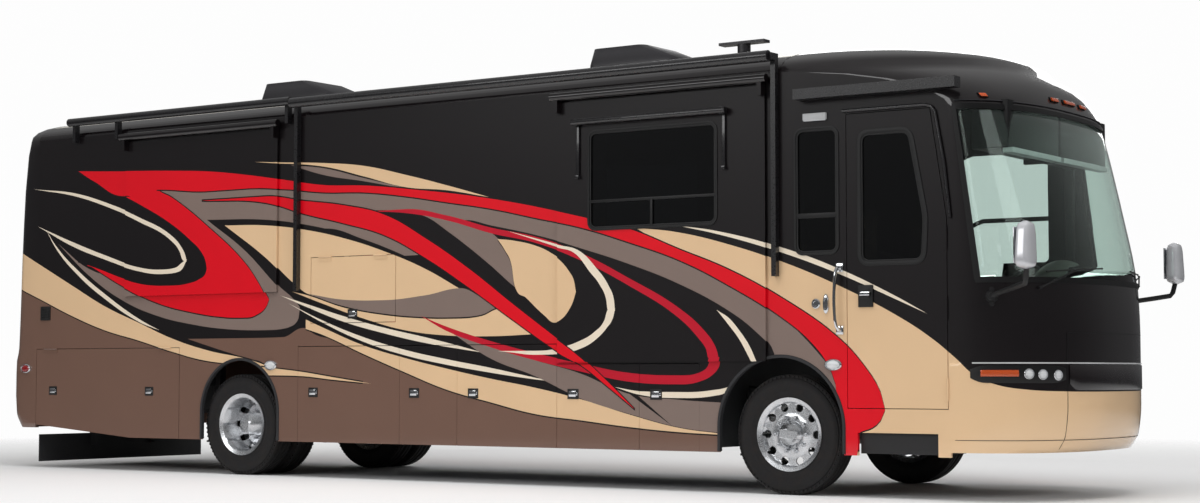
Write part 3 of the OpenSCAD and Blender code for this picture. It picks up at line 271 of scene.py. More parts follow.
# (paint, upper edge, lower edge), from the bottom coat to the top one
BANDS = [
    ("brown", BROWN_EDGE, [(-9.5, LOW), (-5.6, LOW)]),
    ("brown", [(-6.8, 1.33), (-6.0, 1.33), (-5.5, 1.335), (-5.25, 1.42)] + LOWER_TAN_LOW[1:],
     [(-6.8, 1.33), (-6.4, 1.23), (-6.0, 1.135), (-5.75, 1.07), (-5.65, LOW), (-0.6, LOW)]),
    ("tan", [(-9.5, 2.36), (-9.0, 2.13), (-8.5, 1.9), (-8.0, 1.675), (-7.5, 1.5), (-7.0, 1.33),
             (-6.5, 1.21), (-6.0, 1.13), (-5.6, 1.03)], BROWN_EDGE),
    ("tan", [(-5.8, 1.05), (-5.25, 1.0), (-4.9, 0.955), (-4.5, 0.905)],
     [(-5.8, 0.97), (-5.25, 0.96), (-4.9, 0.93), (-4.5, 0.9)]),
    ("cream",) + thin([(-8.92, 2.5), (-8.75, 2.3), (-8.4, 2.02), (-8.0, 1.775), (-7.5, 1.525), (-7.2, 1.42)],
                      0.05),
    # taupe ground behind the rear sweeps
    ("taupe",
     [(-8.72, 2.34), (-8.25, 2.07), (-7.9, 2.0), (-7.5, 2.2), (-7.25, 2.84), (-6.5, 2.8), (-6.0, 2.8),
      (-5.5, 2.77), (-5.3, 2.73)],
     [(-8.72, 2.34), (-8.25, 2.0), (-7.75, 1.735), (-7.25, 1.57), (-6.75, 1.475), (-6.25, 1.42),
      (-5.75, 1.405), (-5.45, 1.425), (-5.32, 1.5), (-5.3, 1.6)]),
    ("taupe", [(-5.6, 2.77)] + LONG_LOW[4:15] + [(0.56, 0.9)],
     [(-5.6, 2.3), (-5.0, 2.36), (-4.5, 2.24), (-4.0, 2.07), (-3.6, 2.1), (-3.3, 2.37), (-3.0, 2.31),
      (-2.5, 2.205), (-2.0, 2.07), (-1.5, 1.92), (-1.0, 1.74), (-0.5, 1.5), (-0.25, 1.33), (-0.1, 1.18),
      (0.1, LOW), (0.56, LOW)]),
    ("black", [(-6.5, 2.505), (-5.75, 2.475), (-5.25, 2.41), (-4.75, 2.305), (-4.25, 2.16), (-3.75, 1.96),
               (-3.4, 1.775), (-2.9, 1.57)],
     [(-6.5, 2.49), (-6.0, 2.18), (-5.6, 1.85), (-5.3, 1.62), (-5.18, 1.4), (-4.75, 1.3), (-4.0, 1.15),
      (-3.4, 1.1), (-2.9, 1.3)]),
    ("tan", BIG_LENS_TOP, BIG_LENS_LOW),
    ("taupe", [(-5.2, 1.745), (-4.75, 1.68), (-4.25, 1.665), (-3.75, 1.7), (-3.35, 1.755), (-3.1, 1.665),
               (-2.88, 1.555)],
     [(-5.2, 1.745), (-4.75, 1.62), (-4.25, 1.54), (-3.75, 1.5), (-3.4, 1.493), (-3.1, 1.51),
      (-2.88, 1.555)]),
    ("tan", [(-5.4, 1.77), (-5.2, 1.73), (-4.75, 1.607), (-4.25, 1.527), (-3.75, 1.487), (-3.4, 1.48),
             (-3.1, 1.5), (-2.9, 1.56), (-2.75, 1.5), (-2.42, 1.34)],
     [(-5.4, 1.77), (-5.0, 1.645), (-4.5, 1.5), (-4.0, 1.385), (-3.5, 1.33), (-3.0, 1.318), (-2.42, 1.335)]),
    ("cream",) + thin([(-5.55, 1.735), (-5.25, 1.645), (-4.75, 1.5), (-4.25, 1.385), (-3.75, 1.29),
                       (-3.35, 1.22), (-3.1, 1.175)], 0.052),
    ("cream",) + thin([(-5.45, 1.66), (-5.0, 1.475), (-4.5, 1.305), (-4.0, 1.18), (-3.5, 1.09),
                       (-3.0, 1.015), (-2.6, 0.955), (-2.3, 0.915)], 0.05),
    ("tan", LOWER_TAN_TOP, LOWER_TAN_LOW),
    ("taupe",
     [(-3.4, 1.335), (-3.0, 1.23), (-2.5, 1.1), (-2.0, 0.98), (-1.7, 0.87), (-1.5, 0.81), (-1.0, 0.765),
      (-0.6, 0.745)],
     [(-3.4, 1.33), (-3.0, 1.12), (-2.5, 0.96), (-2.1, 0.8), (-2.0, 0.765), (-1.5, 0.64), (-1.0, 0.535),
      (-0.6, 0.495)]),
    # crescents in the middle
    ("black",
     [(-4.45, 2.51), (-4.1, 2.49), (-3.75, 2.42), (-3.5, 2.28), (-3.0, 1.95), (-2.75, 1.77), (-2.5, 1.59),
      (-2.2, 1.37)],
     [(-4.45, 2.5), (-4.1, 2.39), (-3.75, 2.2), (-3.25, 1.9), (-2.75, 1.58), (-2.2, 1.24)]),
    ("taupe",
     [(-4.1, 2.52), (-3.75, 2.47), (-3.5, 2.4), (-3.0, 2.245), (-2.9, 2.17), (-2.8, 2.05), (-2.73, 1.9),
      (-2.7, 1.74)],
     [(-4.1, 2.5), (-3.75, 2.42), (-3.5, 2.28), (-3.0, 1.95), (-2.8, 1.8), (-2.7, 1.73)]),
    ("tan", [(-2.92, 2.185), (-2.75, 2.165), (-2.5, 2.11), (-2.35, 2.05), (-2.2, 1.955), (-2.12, 1.87),
             (-2.07, 1.79), (-2.05, 1.7)],
     [(-2.92, 2.18), (-2.84, 2.08), (-2.77, 1.96), (-2.73, 1.76), (-2.6, 1.65), (-2.4, 1.49), (-2.3, 1.43),
      (-2.2, 1.46), (-2.12, 1.54), (-2.07, 1.63), (-2.05, 1.69)]),
    ("rose", RING_TOP, RING_TOP_IN + [(-0.6, 1.11)]),
    ("rose", RING_LOW_IN + [(-0.6, 1.12)], RING_LOW),
    ("cream", [(-2.7, 2.225), (-2.25, 2.11), (-2.0, 2.04), (-1.85, 1.91), (-1.7, 1.73), (-1.65, 1.62),
               (-1.64, 1.53)],
     [(-2.7, 2.22), (-2.25, 2.085), (-2.05, 2.02), (-1.9, 1.86), (-1.8, 1.75), (-1.73, 1.62),
      (-1.715, 1.53), (-1.64, 1.52)]),
    ("cream", [(-2.8, 1.185), (-2.5, 1.185), (-2.25, 1.205), (-2.0, 1.27), (-1.85, 1.345), (-1.75, 1.44),
               (-1.715, 1.53), (-1.64, 1.54)],
     [(-2.8, 1.175), (-2.5, 1.15), (-2.25, 1.155), (-2.0, 1.2), (-1.85, 1.27), (-1.72, 1.38), (-1.66, 1.46),
      (-1.64, 1.53)]),
    ("red", THICK_TOP, THICK_LOW),
    ("tan", [(-5.75, 3.035), (-5.0, 2.985), (-4.5, 2.93), (-4.0, 2.82), (-3.5, 2.695), (-3.0, 2.56)],
     [(-5.75, 3.03), (-5.0, 2.95), (-4.5, 2.83), (-4.0, 2.705), (-3.5, 2.65), (-3.0, 2.56)]),
    ("taupe", [(-5.4, 2.985), (-5.0, 2.935), (-4.5, 2.815), (-4.0, 2.7)],
     [(-5.4, 2.98), (-5.0, 2.87), (-4.5, 2.785), (-4.0, 2.69)]),
    # rear loop and its dark ground
    ("red",
     [(-8.42, 3.095), (-8.0, 3.07), (-7.4, 3.04), (-7.25, 2.86), (-7.0, 2.74), (-6.5, 2.43), (-6.0, 2.06),
      (-5.85, 1.9), (-5.75, 1.77), (-5.7, 1.7)],
     [(-8.42, 3.09), (-8.3, 2.13), (-8.2, 2.085), (-7.75, 1.88), (-7.25, 1.7), (-6.75, 1.595),
      (-6.25, 1.535), (-6.0, 1.53), (-5.85, 1.56), (-5.74, 1.63), (-5.7, 1.7)]),
    ("black", S_EDGE, HOOK_TOP),
    ("cream", [(-9.02, 2.93), (-8.5, 2.87), (-8.0, 2.745), (-7.5, 2.575), (-7.0, 2.355), (-6.88, 2.25),
               (-6.82, 2.16), (-6.805, 2.11)],
     [(-9.02, 2.925), (-8.5, 2.84), (-8.0, 2.705), (-7.5, 2.53), (-7.0, 2.3), (-6.9, 2.2), (-6.86, 2.12),
      (-6.805, 2.1)]),
    ("cream", [(-8.93, 2.5), (-8.5, 2.355), (-8.0, 2.2), (-7.5, 2.065), (-7.15, 2.03), (-6.95, 2.045),
               (-6.87, 2.09), (-6.805, 2.12)],
     [(-8.93, 2.49), (-8.5, 2.31), (-8.0, 2.155), (-7.5, 2.025), (-7.15, 1.985), (-6.95, 1.995),
      (-6.86, 2.03), (-6.805, 2.11)]),
    # front tan, then the long red sweep over everything
    ("tan", FRONT_LINE, [(-1.42, 2.22), (-1.0, 2.0), (-0.5, 1.78), (0.0, 1.51), (0.25, 1.36), (0.42, 1.2),
                         (0.55, 1.0), (0.62, 0.7), (0.64, 0.3), (0.66, LOW), (2.4, LOW)]),
    ("cream",) + thin([(-1.05, 2.235), (-0.6, 2.15), (0.0, 1.985), (0.5, 1.805), (1.0, 1.585), (1.28, 1.45)],
                      0.042),
    ("cream", [(-0.6, 1.5), (-0.5, 1.44), (-0.4, 1.335), (-0.3, 1.2), (-0.245, 1.09)],
     [(-0.6, 1.49), (-0.5, 1.38), (-0.4, 1.26), (-0.32, 1.13), (-0.245, 1.0)]),
    ("cream",) + thin([(-1.66, 0.87), (-1.4, 0.82), (-1.0, 0.805), (-0.7, 0.82), (-0.5, 0.87), (-0.44, 0.92)],
                      0.05),
    ("red", [(-8.42, 3.095), (-8.0, 3.07), (-7.0, 3.02), (-6.5, 2.985), (-6.0, 2.925), (-5.5, 2.85),
             (-5.0, 2.775), (-4.5, 2.745), (-4.0, 2.69), (-3.0, 2.55), (-2.0, 2.345), (-1.5, 2.22),
             (-1.0, 2.03), (-0.5, 1.84), (0.0, 1.59), (0.5, 1.27), (0.75, 1.02), (0.87, 0.84), (0.91, 0.7)],
     [(-8.42, 3.09), (-8.2, 2.98), (-7.7, 2.8)] + LONG_LOW + [(0.655, 0.3), (0.67, 0.51), (0.8, 0.56),
                                                              (0.88, 0.63), (0.91, 0.7)]),
    # no outline where the rear loop runs into the long sweep
    ("red_join", [(-7.8, 2.83), (-7.5, 2.86), (-7.3, 2.87), (-7.22, 2.845)],
     [(-7.8, 2.83), (-7.5, 2.78), (-7.3, 2.8), (-7.22, 2.845)]),
]
SCALE_Z = 4.0
OUTLINED = {"red", "tan"}
OUTLINE = 0.012 / SCALE_Z


def float_curve(n, fac, points):
    """A curve node through (place, value) points."""
    node = n.add("ShaderNodeFloatCurve")
    n.link(fac, node.inputs["Value"])
    curve = node.mapping.curves[0]
    while len(curve.points) < len(points):
        curve.points.new(0.5, 0.5)
    for spot, (x, z) in zip(curve.points, points):
        spot.location = (x, z)
        spot.handle_type = "AUTO_CLAMPED"
    node.mapping.update()
    return node.outputs[0]


def sweeps_group():
    """A node group that gives the painted colour at any place on the coach."""
    tree = bpy.data.node_groups.new("Painted sweeps", "ShaderNodeTree")
    tree.interface.new_socket("Colour", in_out="OUTPUT", socket_type="NodeSocketColor")
    n = Nodes(tree)
    x, y, z = n.split(n.coords())
    height = n.math("MULTIPLY", z, 1 / SCALE_Z)
    colour = srgb(PAINTS["black"])
    for paint, upper, lower in BANDS:
        x0 = min(upper[0][0], lower[0][0])
        x1 = max(upper[-1][0], lower[-1][0])
        along = n.math("MULTIPLY_ADD", x, 1 / (x1 - x0), -(x0 + AXLE) / (x1 - x0))
        edges = []
        for points in (upper, lower):
            edges.append(float_curve(n, along, [((px - x0) / (x1 - x0), pz / SCALE_Z) for px, pz in points]))
        if paint in OUTLINED:
            about = n.math("MULTIPLY", n.math("LESS_THAN", height, n.math("ADD", edges[0], OUTLINE)),
                           n.math("GREATER_THAN", height, n.math("SUBTRACT", edges[1], OUTLINE)))
            about = n.math("MULTIPLY", about, n.math("LESS_THAN", along, 1.0))
            about = n.math("MULTIPLY", about, n.math("GREATER_THAN", along, 0.0))
            colour = n.mix(about, colour, srgb(PAINTS["black"]))
        inside = n.math("MULTIPLY", n.math("LESS_THAN", height, edges[0]),
                        n.math("GREATER_THAN", height, edges[1]))
        if x1 < 2 and upper[-1][1] - lower[-1][1] > 0.2:
            inside = n.math("MULTIPLY", inside, n.math("LESS_THAN", along, 1.0))
        if x0 > -9 and upper[0][1] - lower[0][1] > 0.02:
            inside = n.math("MULTIPLY", inside, n.math("GREATER_THAN", along, 0.0))
        colour = n.mix(inside, colour, srgb(PAINTS[paint]))
    out = n.add("NodeGroupOutput")
    n.link(colour, out.inputs[0])
    return tree


def sweep_paint():
    """The coach paint: gloss coat over the sweeps, with a faint flake."""
    mat, n, shader = material("Coach paint", **{"Coat Weight": 1.0, "Coat Roughness": 0.03,
                                                "Specular IOR Level": 0.25})
    group = n.add("ShaderNodeGroup")
    group.node_tree = sweeps_group()
    at = n.coords()
    shade = n.noise(at, 1.6, 2.0)
    flake = n.noise(at, 900.0, 1.0)
    tone = n.math("ADD", n.ramp(shade, 0.3, 0.7, 0.96, 1.0), n.ramp(flake, 0.3, 0.7, -0.03, 0.03))
    grey = n.add("ShaderNodeCombineColor")
    for i in range(3):
        n.link(tone, grey.inputs[i])
    n.link(n.mix(1.0, group.outputs[0], grey.outputs[0], "MULTIPLY"), shader.inputs["Base Color"])
    n.link(n.ramp(flake, 0.2, 0.8, 0.3, 0.42), shader.inputs["Roughness"])
    n.link(n.bump(n.noise(at, 26.0, 2.0), 0.02, 0.002), shader.inputs["Normal"])
    return mat


def glass(name, code):
    """Clear tinted glass, its tint a little uneven."""
    mat, n, shader = material(name, **{"Transmission Weight": 1.0, "IOR": 1.2, "Roughness": 0.0,
                                       "Coat Weight": 0.25, "Coat Roughness": 0.02})
    tint = n.noise(n.coords(), 0.9, 1.0)
    base = srgb(code)
    n.link(n.mix(n.ramp(tint, 0.3, 0.7, 0.0, 0.12), base, [c * 0.8 for c in base[:3]] + [1]),
           shader.inputs["Base Color"])
    return mat


def side_glass():
    """Dark privacy glass, with a light pane beside the driver."""
    mat, n, shader = material("Side glass", **{"Transmission Weight": 1.0, "IOR": 1.3, "Roughness": 0.0,
                                               "Coat Weight": 1.0, "Coat Roughness": 0.02})
    x, y, z = n.split(n.coords())
    light = n.math("MULTIPLY", n.math("GREATER_THAN", y, 0.5), n.math("GREATER_THAN", x, AXLE))
    dark = n.mix(n.noise(n.coords(), 1.5), srgb("1f2225"), srgb("2a2d30"))
    n.link(n.mix(light, dark, srgb("e6efec")), shader.inputs["Base Color"])
    return mat


def roof_material():
    """Pale mottled membrane on top, black paint at the edges."""
    mat, n, shader = material("Roof", **{"Coat Weight": 0.3})
    x, y, z = n.split(n.coords())
    at = n.coords()
    top = n.math("GREATER_THAN", z, 3.6)
    pale = n.mix(n.ramp(n.noise(at, 3.0), 0.3, 0.7, 0, 1), srgb("c9c6bf"), srgb("b3afa6"))
    n.link(n.mix(top, srgb(PAINTS["black"]), pale), shader.inputs["Base Color"])
    n.link(n.mix(top, (0.18, 0.18, 0.18, 1), (0.6, 0.6, 0.6, 1)), shader.inputs["Roughness"])
    n.link(n.bump(n.noise(at, 120.0), 0.08, 0.001), shader.inputs["Normal"])
    return mat


def lens(name, code, rings=260.0):
    """Ribbed lens."""
    mat, n, shader = material(name, **{"Coat Weight": 1.0, "Transmission Weight": 0.25, "IOR": 1.45})
    at = n.coords()
    wave = n.add("ShaderNodeTexWave", bands_direction="Z")
    n.link(at, wave.inputs["Vector"])
    wave.inputs["Scale"].default_value = rings / 10
    base = srgb(code)
    n.link(n.mix(n.ramp(wave.outputs["Fac"], 0, 1, 0, 0.35), base, [c * 0.55 for c in base[:3]] + [1]),
           shader.inputs["Base Color"])
    n.link(n.ramp(wave.outputs["Fac"], 0, 1, 0.1, 0.25), shader.inputs["Roughness"])
    n.link(n.bump(wave.outputs["Fac"], 0.4, 0.002), shader.inputs["Normal"])
    return mat


def lamp_lens_material():
    """Clear at the front, red at the tail."""
    mat, n, shader = material("Lamp lenses", **{"Coat Weight": 1.0, "Roughness": 0.15})
    x, y, z = n.split(n.coords())
    wave = n.add("ShaderNodeTexWave", bands_direction="Z")
    n.link(n.coords(), wave.inputs["Vector"])
    wave.inputs["Scale"].default_value = 22.0
    tail = n.math("LESS_THAN", x, 0.0)
    n.link(n.mix(tail, n.mix(wave.outputs["Fac"], srgb("3a3c3e"), srgb("56595c")),
                 n.mix(wave.outputs["Fac"], srgb("8e1016"), srgb("5e0a0f"))), shader.inputs["Base Color"])
    n.link(n.bump(wave.outputs["Fac"], 0.4, 0.002), shader.inputs["Normal"])
    return mat


def weave(name, code, second):
    """Cloth of crossed threads in two tones."""
    mat, n, shader = material(name,
                              **{"Sheen Weight": 0.4, "Sheen Roughness": 0.5, "Specular IOR Level": 0.2})
    at = n.coords()
    threads = []
    for direction in ("X", "Z"):
        wave = n.add("ShaderNodeTexWave", bands_direction=direction)
        n.link(at, wave.inputs["Vector"])
        wave.inputs["Scale"].default_value = 55.0
        wave.inputs["Distortion"].default_value = 1.5
        threads.append(wave.outputs["Fac"])
    cross = n.math("MULTIPLY", threads[0], threads[1])
    fac = n.math("ADD", n.ramp(cross, 0, 1, 0, 0.6), n.ramp(n.noise(at, 6.0), 0.3, 0.7, 0, 0.4))
    n.link(n.mix(fac, srgb(code), srgb(second)), shader.inputs["Base Color"])
    n.link(n.ramp(cross, 0, 1, 0.75, 0.95), shader.inputs["Roughness"])
    n.link(n.bump(cross, 0.35, 0.0015), shader.inputs["Normal"])
    return mat


def tyre_material():
    """Dusty rubber."""
    mat, n, shader = material("Tyre rubber", **{"Specular IOR Level": 0.3})
    at = n.coords()
    dust = n.noise(at, 14.0, 5.0)
    n.link(n.mix(n.ramp(dust, 0.45, 0.75, 0, 0.5), srgb("1b1a1b"), srgb("37322f")),
           shader.inputs["Base Color"])
    n.link(n.ramp(dust, 0.3, 0.7, 0.55, 0.85), shader.inputs["Roughness"])
    n.link(n.bump(n.noise(at, 220.0), 0.2, 0.0008), shader.inputs["Normal"])
    return mat


def polished(name, code, rough, brush=180.0):
    """Bright metal with fine brushing."""
    mat, n, shader = material(name, **{"Metallic": 1.0, "Coat Weight": 0.2})
    at = n.coords()
    fine = n.noise(at, brush, 4.0)
    base = srgb(code)
    n.link(n.mix(n.ramp(n.noise(at, 9.0), 0.3, 0.7, 0, 1), base, [c * 0.82 for c in base[:3]] + [1]),
           shader.inputs["Base Color"])
    n.link(n.ramp(fine, 0.3, 0.7, rough, rough + 0.12), shader.inputs["Roughness"])
    return mat


def make_materials():
    """Fills the MATERIALS table."""
    MATERIALS["paint"] = sweep_paint()
    MATERIALS["roof"] = roof_material()
    MATERIALS["windshield"] = glass("Windshield glass", "cddcd6")
    MATERIALS["side_glass"] = side_glass()
    MATERIALS["tyre"] = tyre_material()
    MATERIALS["alloy"] = polished("Polished alloy", "dcdee1", 0.22)
    MATERIALS["chrome"] = polished("Bright trim", "dfe1e4", 0.06)
    MATERIALS["clear"] = lens("Clear lens", "f4f6f8")
    MATERIALS["gloss_black"] = worn("Gloss black panel", "120c0e", 0.2, grain=30.0, bump=0.02, shade=0.1,
                                    **{"Coat Weight": 1.0})
    MATERIALS["lamp_band"] = lamp_lens_material()
    MATERIALS["amber"] = lens("Amber lens", "d8561a")
    MATERIALS["ruby"] = lens("Red lens", "9c1016")
    MATERIALS["cloth"] = weave("Upholstery weave", "9a8165", "6f5b46")
    MATERIALS["chassis"] = worn("Chassis paint", "232426", 0.5, shade=0.35)
    MATERIALS["engine"] = worn("Cast iron", "5b5e61", 0.6, shade=0.4, Metallic=0.4)
    MATERIALS["floor"] = worn("Floor board", "8f8478", 0.7, grain=25.0)
    MATERIALS["liner"] = worn("Bay liner", "4c4f52", 0.65, grain=90.0)
    MATERIALS["trim"] = worn("Dash moulding", "4a4c45", 0.62, grain=160.0, bump=0.3)
    MATERIALS["soft_black"] = worn("Soft black moulding", "151516", 0.55, grain=200.0, bump=0.25)
    MATERIALS["gasket"] = worn("Window gasket", "070708", 0.5, grain=150.0)
    MATERIALS["shroud"] = worn("Roof shroud", "242326", 0.4, grain=60.0, shade=0.2)
    MATERIALS["awning"] = worn("Awning extrusion", "1a191b", 0.3, grain=80.0, **{"Coat Weight": 0.5})
    MATERIALS["step"] = worn("Step steel", "1c1c1e", 0.55, grain=140.0, bump=0.4)
    MATERIALS["flap"] = worn("Rubber flap", "2c2c2e", 0.7, grain=70.0)
    MATERIALS["mirror_shell"] = worn("Mirror shell", "d3d4d8", 0.2, spread=0.06, grain=18.0, bump=0.0,
                                     shade=0.12,
                                     **{"Coat Weight": 0.8, "Metallic": 0.3})
    MATERIALS["plate"] = worn("Blank plate", "c8c9ca", 0.4, grain=60.0, bump=0.05)


# ---------- mesh helpers ----------
def new_object(name, data):
    """An object in the scene, at the origin."""
    obj = bpy.data.objects.new(name, data)
    bpy.context.scene.collection.objects.link(obj)
    return obj


def merged_copy(node, clean=False):
    """A copy of a node's mesh with its triangles joined, so that it can be cut or shaded smooth."""
    mesh = NODES[node].data.copy()
    bm = bmesh.new()
    bm.from_mesh(mesh)
    bmesh.ops.remove_doubles(bm, verts=bm.verts, dist=1e-5)
    if clean:
        bmesh.ops.dissolve_degenerate(bm, edges=bm.edges, dist=1e-5)
    bm.to_mesh(mesh)
    bm.free()
    return mesh


def circle(steps):
    """Angles round a full turn."""
    return [2 * math.pi * k / steps for k in range(steps)]


def finish_piece(name, bm, body, mats, smooth=True, bevel=0.0, angle=35):
    """Turns a bmesh into a named piece that rides on a body."""
    bmesh.ops.remove_doubles(bm, verts=bm.verts, dist=1e-5)
    bmesh.ops.recalc_face_normals(bm, faces=bm.faces)
    mesh = bpy.data.meshes.new(name)
    bm.to_mesh(mesh)
    bm.free()
    obj = new_object(name, mesh)
    for key in mats:
        mesh.materials.append(MATERIALS[key])
    if bevel:
        mod = obj.modifiers.new("Edge", "BEVEL")
        mod.width = bevel
        mod.segments = 2
        mod.limit_method = "ANGLE"
        mod.angle_limit = math.radians(40)
    if smooth:
        mesh.shade_smooth()
        mod = obj.modifiers.new("Smooth", "EDGE_SPLIT")
        mod.split_angle = math.radians(angle)
    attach(obj, body)
    return obj


def add_box(bm, x0, x1, y0, y1, z0, z1, mat=0):
    """A box between two corners."""
    spots = [bm.verts.new((x, y, z)) for x in (x0, x1) for y in (y0, y1) for z in (z0, z1)]
    for a, b, c, d in ((0, 1, 3, 2), (4, 6, 7, 5), (0, 4, 5, 1), (2, 3, 7, 6), (0, 2, 6, 4), (1, 5, 7, 3)):
        bm.faces.new([spots[i] for i in (a, b, c, d)]).material_index = mat


def side_y(side, out=0.0):
    """Y of a side wall, out metres off it."""
    return side * (HALF_W + out)


def side_box(bm, side, x0, x1, z0, z1, inner, outer, mat=0):
    """A box on a side wall: inner and outer are how far its faces stand out from the wall."""
    ys = sorted((side_y(side, inner), side_y(side, outer)))
    add_box(bm, AXLE + x0, AXLE + x1, ys[0], ys[1], z0, z1, mat)


def loft(bm, rings, closed=True, caps=True, mat=0):
    """Skins a list of rings, each a list of points."""
    rows = [[bm.verts.new(p) for p in ring] for ring in rings]
    count = len(rows[0])
    for a, b in zip(rows, rows[1:]):
        for i in range(count if closed else count - 1):
            j = (i + 1) % count
            bm.faces.new((a[i], a[j], b[j], b[i])).material_index = mat
    if caps and closed:
        bm.faces.new(rows[0][::-1]).material_index = mat
        bm.faces.new(rows[-1]).material_index = mat
    return rows


def tube(bm, points, radius, sides=12, mat=0, caps=True):
    """A round bar along points, its ends closed."""
    points = [Vector(p) for p in points]
    rings = []
    normal = None
    for i, p in enumerate(points):
        ahead = (points[min(i + 1, len(points) - 1)] - points[max(i - 1, 0)]).normalized()
        if normal is None:
            normal = ahead.orthogonal().normalized()
        normal = (normal - ahead * normal.dot(ahead)).normalized()
        across = ahead.cross(normal)
        r = radius[i] if isinstance(radius, (list, tuple)) else radius
        rings.append([p + (normal * math.cos(t) + across * math.sin(t)) * r
                      for t in circle(sides)])
    loft(bm, rings, mat=mat, caps=caps)


def turned(bm, profile, centre, steps=96, mat=0, closed=False):
    """Revolves (radius, y) points round a line along Y through centre."""
    cx, cz = centre
    rows = []
    for k in range(steps):
        t = 2 * math.pi * k / steps
        rows.append([bm.verts.new((cx + r * math.sin(t), y, cz + r * math.cos(t))) for r, y in profile])
    spans = len(profile) if closed else len(profile) - 1
    for k in range(steps):
        a, b = rows[k], rows[(k + 1) % steps]
        for i in range(spans):
            j = (i + 1) % len(profile)
            bm.faces.new((a[i], a[j], b[j], b[i])).material_index = mat


def round_rect(x0, x1, z0, z1, r, steps=6):
    """Corner-rounded outline, counterclockwise."""
    spots = []
    for cx, cz, start in ((x1 - r, z0 + r, -90), (x1 - r, z1 - r, 0), (x0 + r, z1 - r, 90),
                          (x0 + r, z0 + r, 180)):
        for k in range(steps + 1):
            t = math.radians(start + 90 * k / steps)
            spots.append((cx + r * math.cos(t), cz + r * math.sin(t)))
    return spots


def frame_ring(bm, side, outline, width, inner, outer, mat=0):
    """A raised frame that follows an outline on a side wall."""
    n = len(outline)
    cx = sum(p[0] for p in outline) / n
    cz = sum(p[1] for p in outline) / n
    loops = []
    for grow, out in ((0.0, inner), (0.0, outer), (width, outer), (width, inner)):
        loop = []
        for i, (x, z) in enumerate(outline):
            ax, az = outline[i - 1]
            bx, bz = outline[(i + 1) % n]
            tx, tz = bx - ax, bz - az
            size = math.hypot(tx, tz) or 1.0
            nx, nz = tz / size, -tx / size
            if (x - cx) * nx + (z - cz) * nz < 0:
                nx, nz = -nx, -nz
            loop.append(bm.verts.new((AXLE + x + nx * grow, side_y(side, out), z + nz * grow)))
        loops.append(loop)
    for a, b in zip(loops, loops[1:] + loops[:1]):
        for i in range(n):
            j = (i + 1) % n
            bm.faces.new((a[i], a[j], b[j], b[i])).material_index = mat


# ---------- geometry node trees ----------
def repeat_tree(name, ring):
    """Repeats a small block round a ring on the Y axis, or along a line."""
    tree = bpy.data.node_groups.new(name, "GeometryNodeTree")
    face = tree.interface
    face.new_socket("Geometry", in_out="OUTPUT", socket_type="NodeSocketGeometry")
    for label, kind in (("Count", "NodeSocketInt"), ("Size", "NodeSocketVector"),
                        ("Centre", "NodeSocketVector"), ("Reach", "NodeSocketVector"),
                        ("Tilt", "NodeSocketVector"), ("Sides", "NodeSocketInt"),
                        ("Finish", "NodeSocketMaterial")):
        face.new_socket(label, in_out="INPUT", socket_type=kind)
    n = Nodes(tree)
    given = n.add("NodeGroupInput").outputs
    if ring:
        points = n.add("GeometryNodeMeshCircle", fill_type="NONE")
        n.link(given["Count"], points.inputs["Vertices"])
        reach = n.add("ShaderNodeSeparateXYZ")
        n.link(given["Reach"], reach.inputs[0])
        n.link(reach.outputs[0], points.inputs["Radius"])
        aim = n.add("FunctionNodeAlignRotationToVector", axis="X")
        n.link(n.add("GeometryNodeInputPosition").outputs[0], aim.inputs["Vector"])
        spots = points.outputs[0]
        block = n.add("GeometryNodeMeshCylinder")
        n.link(given["Sides"], block.inputs["Vertices"])
        size = n.add("ShaderNodeSeparateXYZ")
        n.link(given["Size"], size.inputs[0])
        n.link(size.outputs[0], block.inputs["Radius"])
        n.link(size.outputs[2], block.inputs["Depth"])
        shape = block.outputs["Mesh"]
    else:
        points = n.add("GeometryNodeMeshLine", mode="OFFSET")
        n.link(given["Count"], points.inputs["Count"])
        n.link(given["Reach"], points.inputs["Offset"])
        spots = points.outputs[0]
        block = n.add("GeometryNodeMeshCube")
        n.link(given["Size"], block.inputs["Size"])
        shape = block.outputs["Mesh"]
    copies = n.add("GeometryNodeInstanceOnPoints")
    n.link(spots, copies.inputs["Points"])
    n.link(shape, copies.inputs["Instance"])
    if ring:
        n.link(aim.outputs[0], copies.inputs["Rotation"])
    turned_copies = n.add("GeometryNodeRotateInstances")
    n.link(copies.outputs[0], turned_copies.inputs[0])
    n.link(given["Tilt"], turned_copies.inputs["Rotation"])
    placed = n.add("GeometryNodeTransform")
    n.link(turned_copies.outputs[0], placed.inputs["Geometry"])
    n.link(given["Centre"], placed.inputs["Translation"])
    if ring:
        placed.inputs["Rotation"].default_value = (math.pi / 2, 0, 0)
    real = n.add("GeometryNodeRealizeInstances")
    n.link(placed.outputs[0], real.inputs[0])
    paint = n.add("GeometryNodeSetMaterial")
    n.link(real.outputs[0], paint.inputs["Geometry"])
    n.link(given["Finish"], paint.inputs["Material"])
    n.link(paint.outputs[0], n.add("NodeGroupOutput").inputs[0])
    return tree


TREES = {}


def repeated(name, ring, body, slot, finish, **values):
    """Runs a repeat tree and keeps its result as a plain piece."""
    if ring not in TREES:
        TREES[ring] = repeat_tree("Ring of parts" if ring else "Row of parts", ring)
    tree = TREES[ring]
    holder = new_object(name + "_source", bpy.data.meshes.new(name + "_source"))
    mod = holder.modifiers.new("Repeat", "NODES")
    mod.node_group = tree
    values["Finish"] = MATERIALS[finish]
    for item in tree.interface.items_tree:
        if item.in_out == "INPUT" and item.name in values:
            mod[item.identifier] = values[item.name]
    graph = bpy.context.evaluated_depsgraph_get()
    mesh = bpy.data.meshes.new_from_object(holder.evaluated_get(graph), depsgraph=graph)
    mesh.name = name
    holder.modifiers.remove(mod)
    bpy.data.objects.remove(holder)
    obj = new_object(name, mesh)
    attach(obj, body)
    return obj


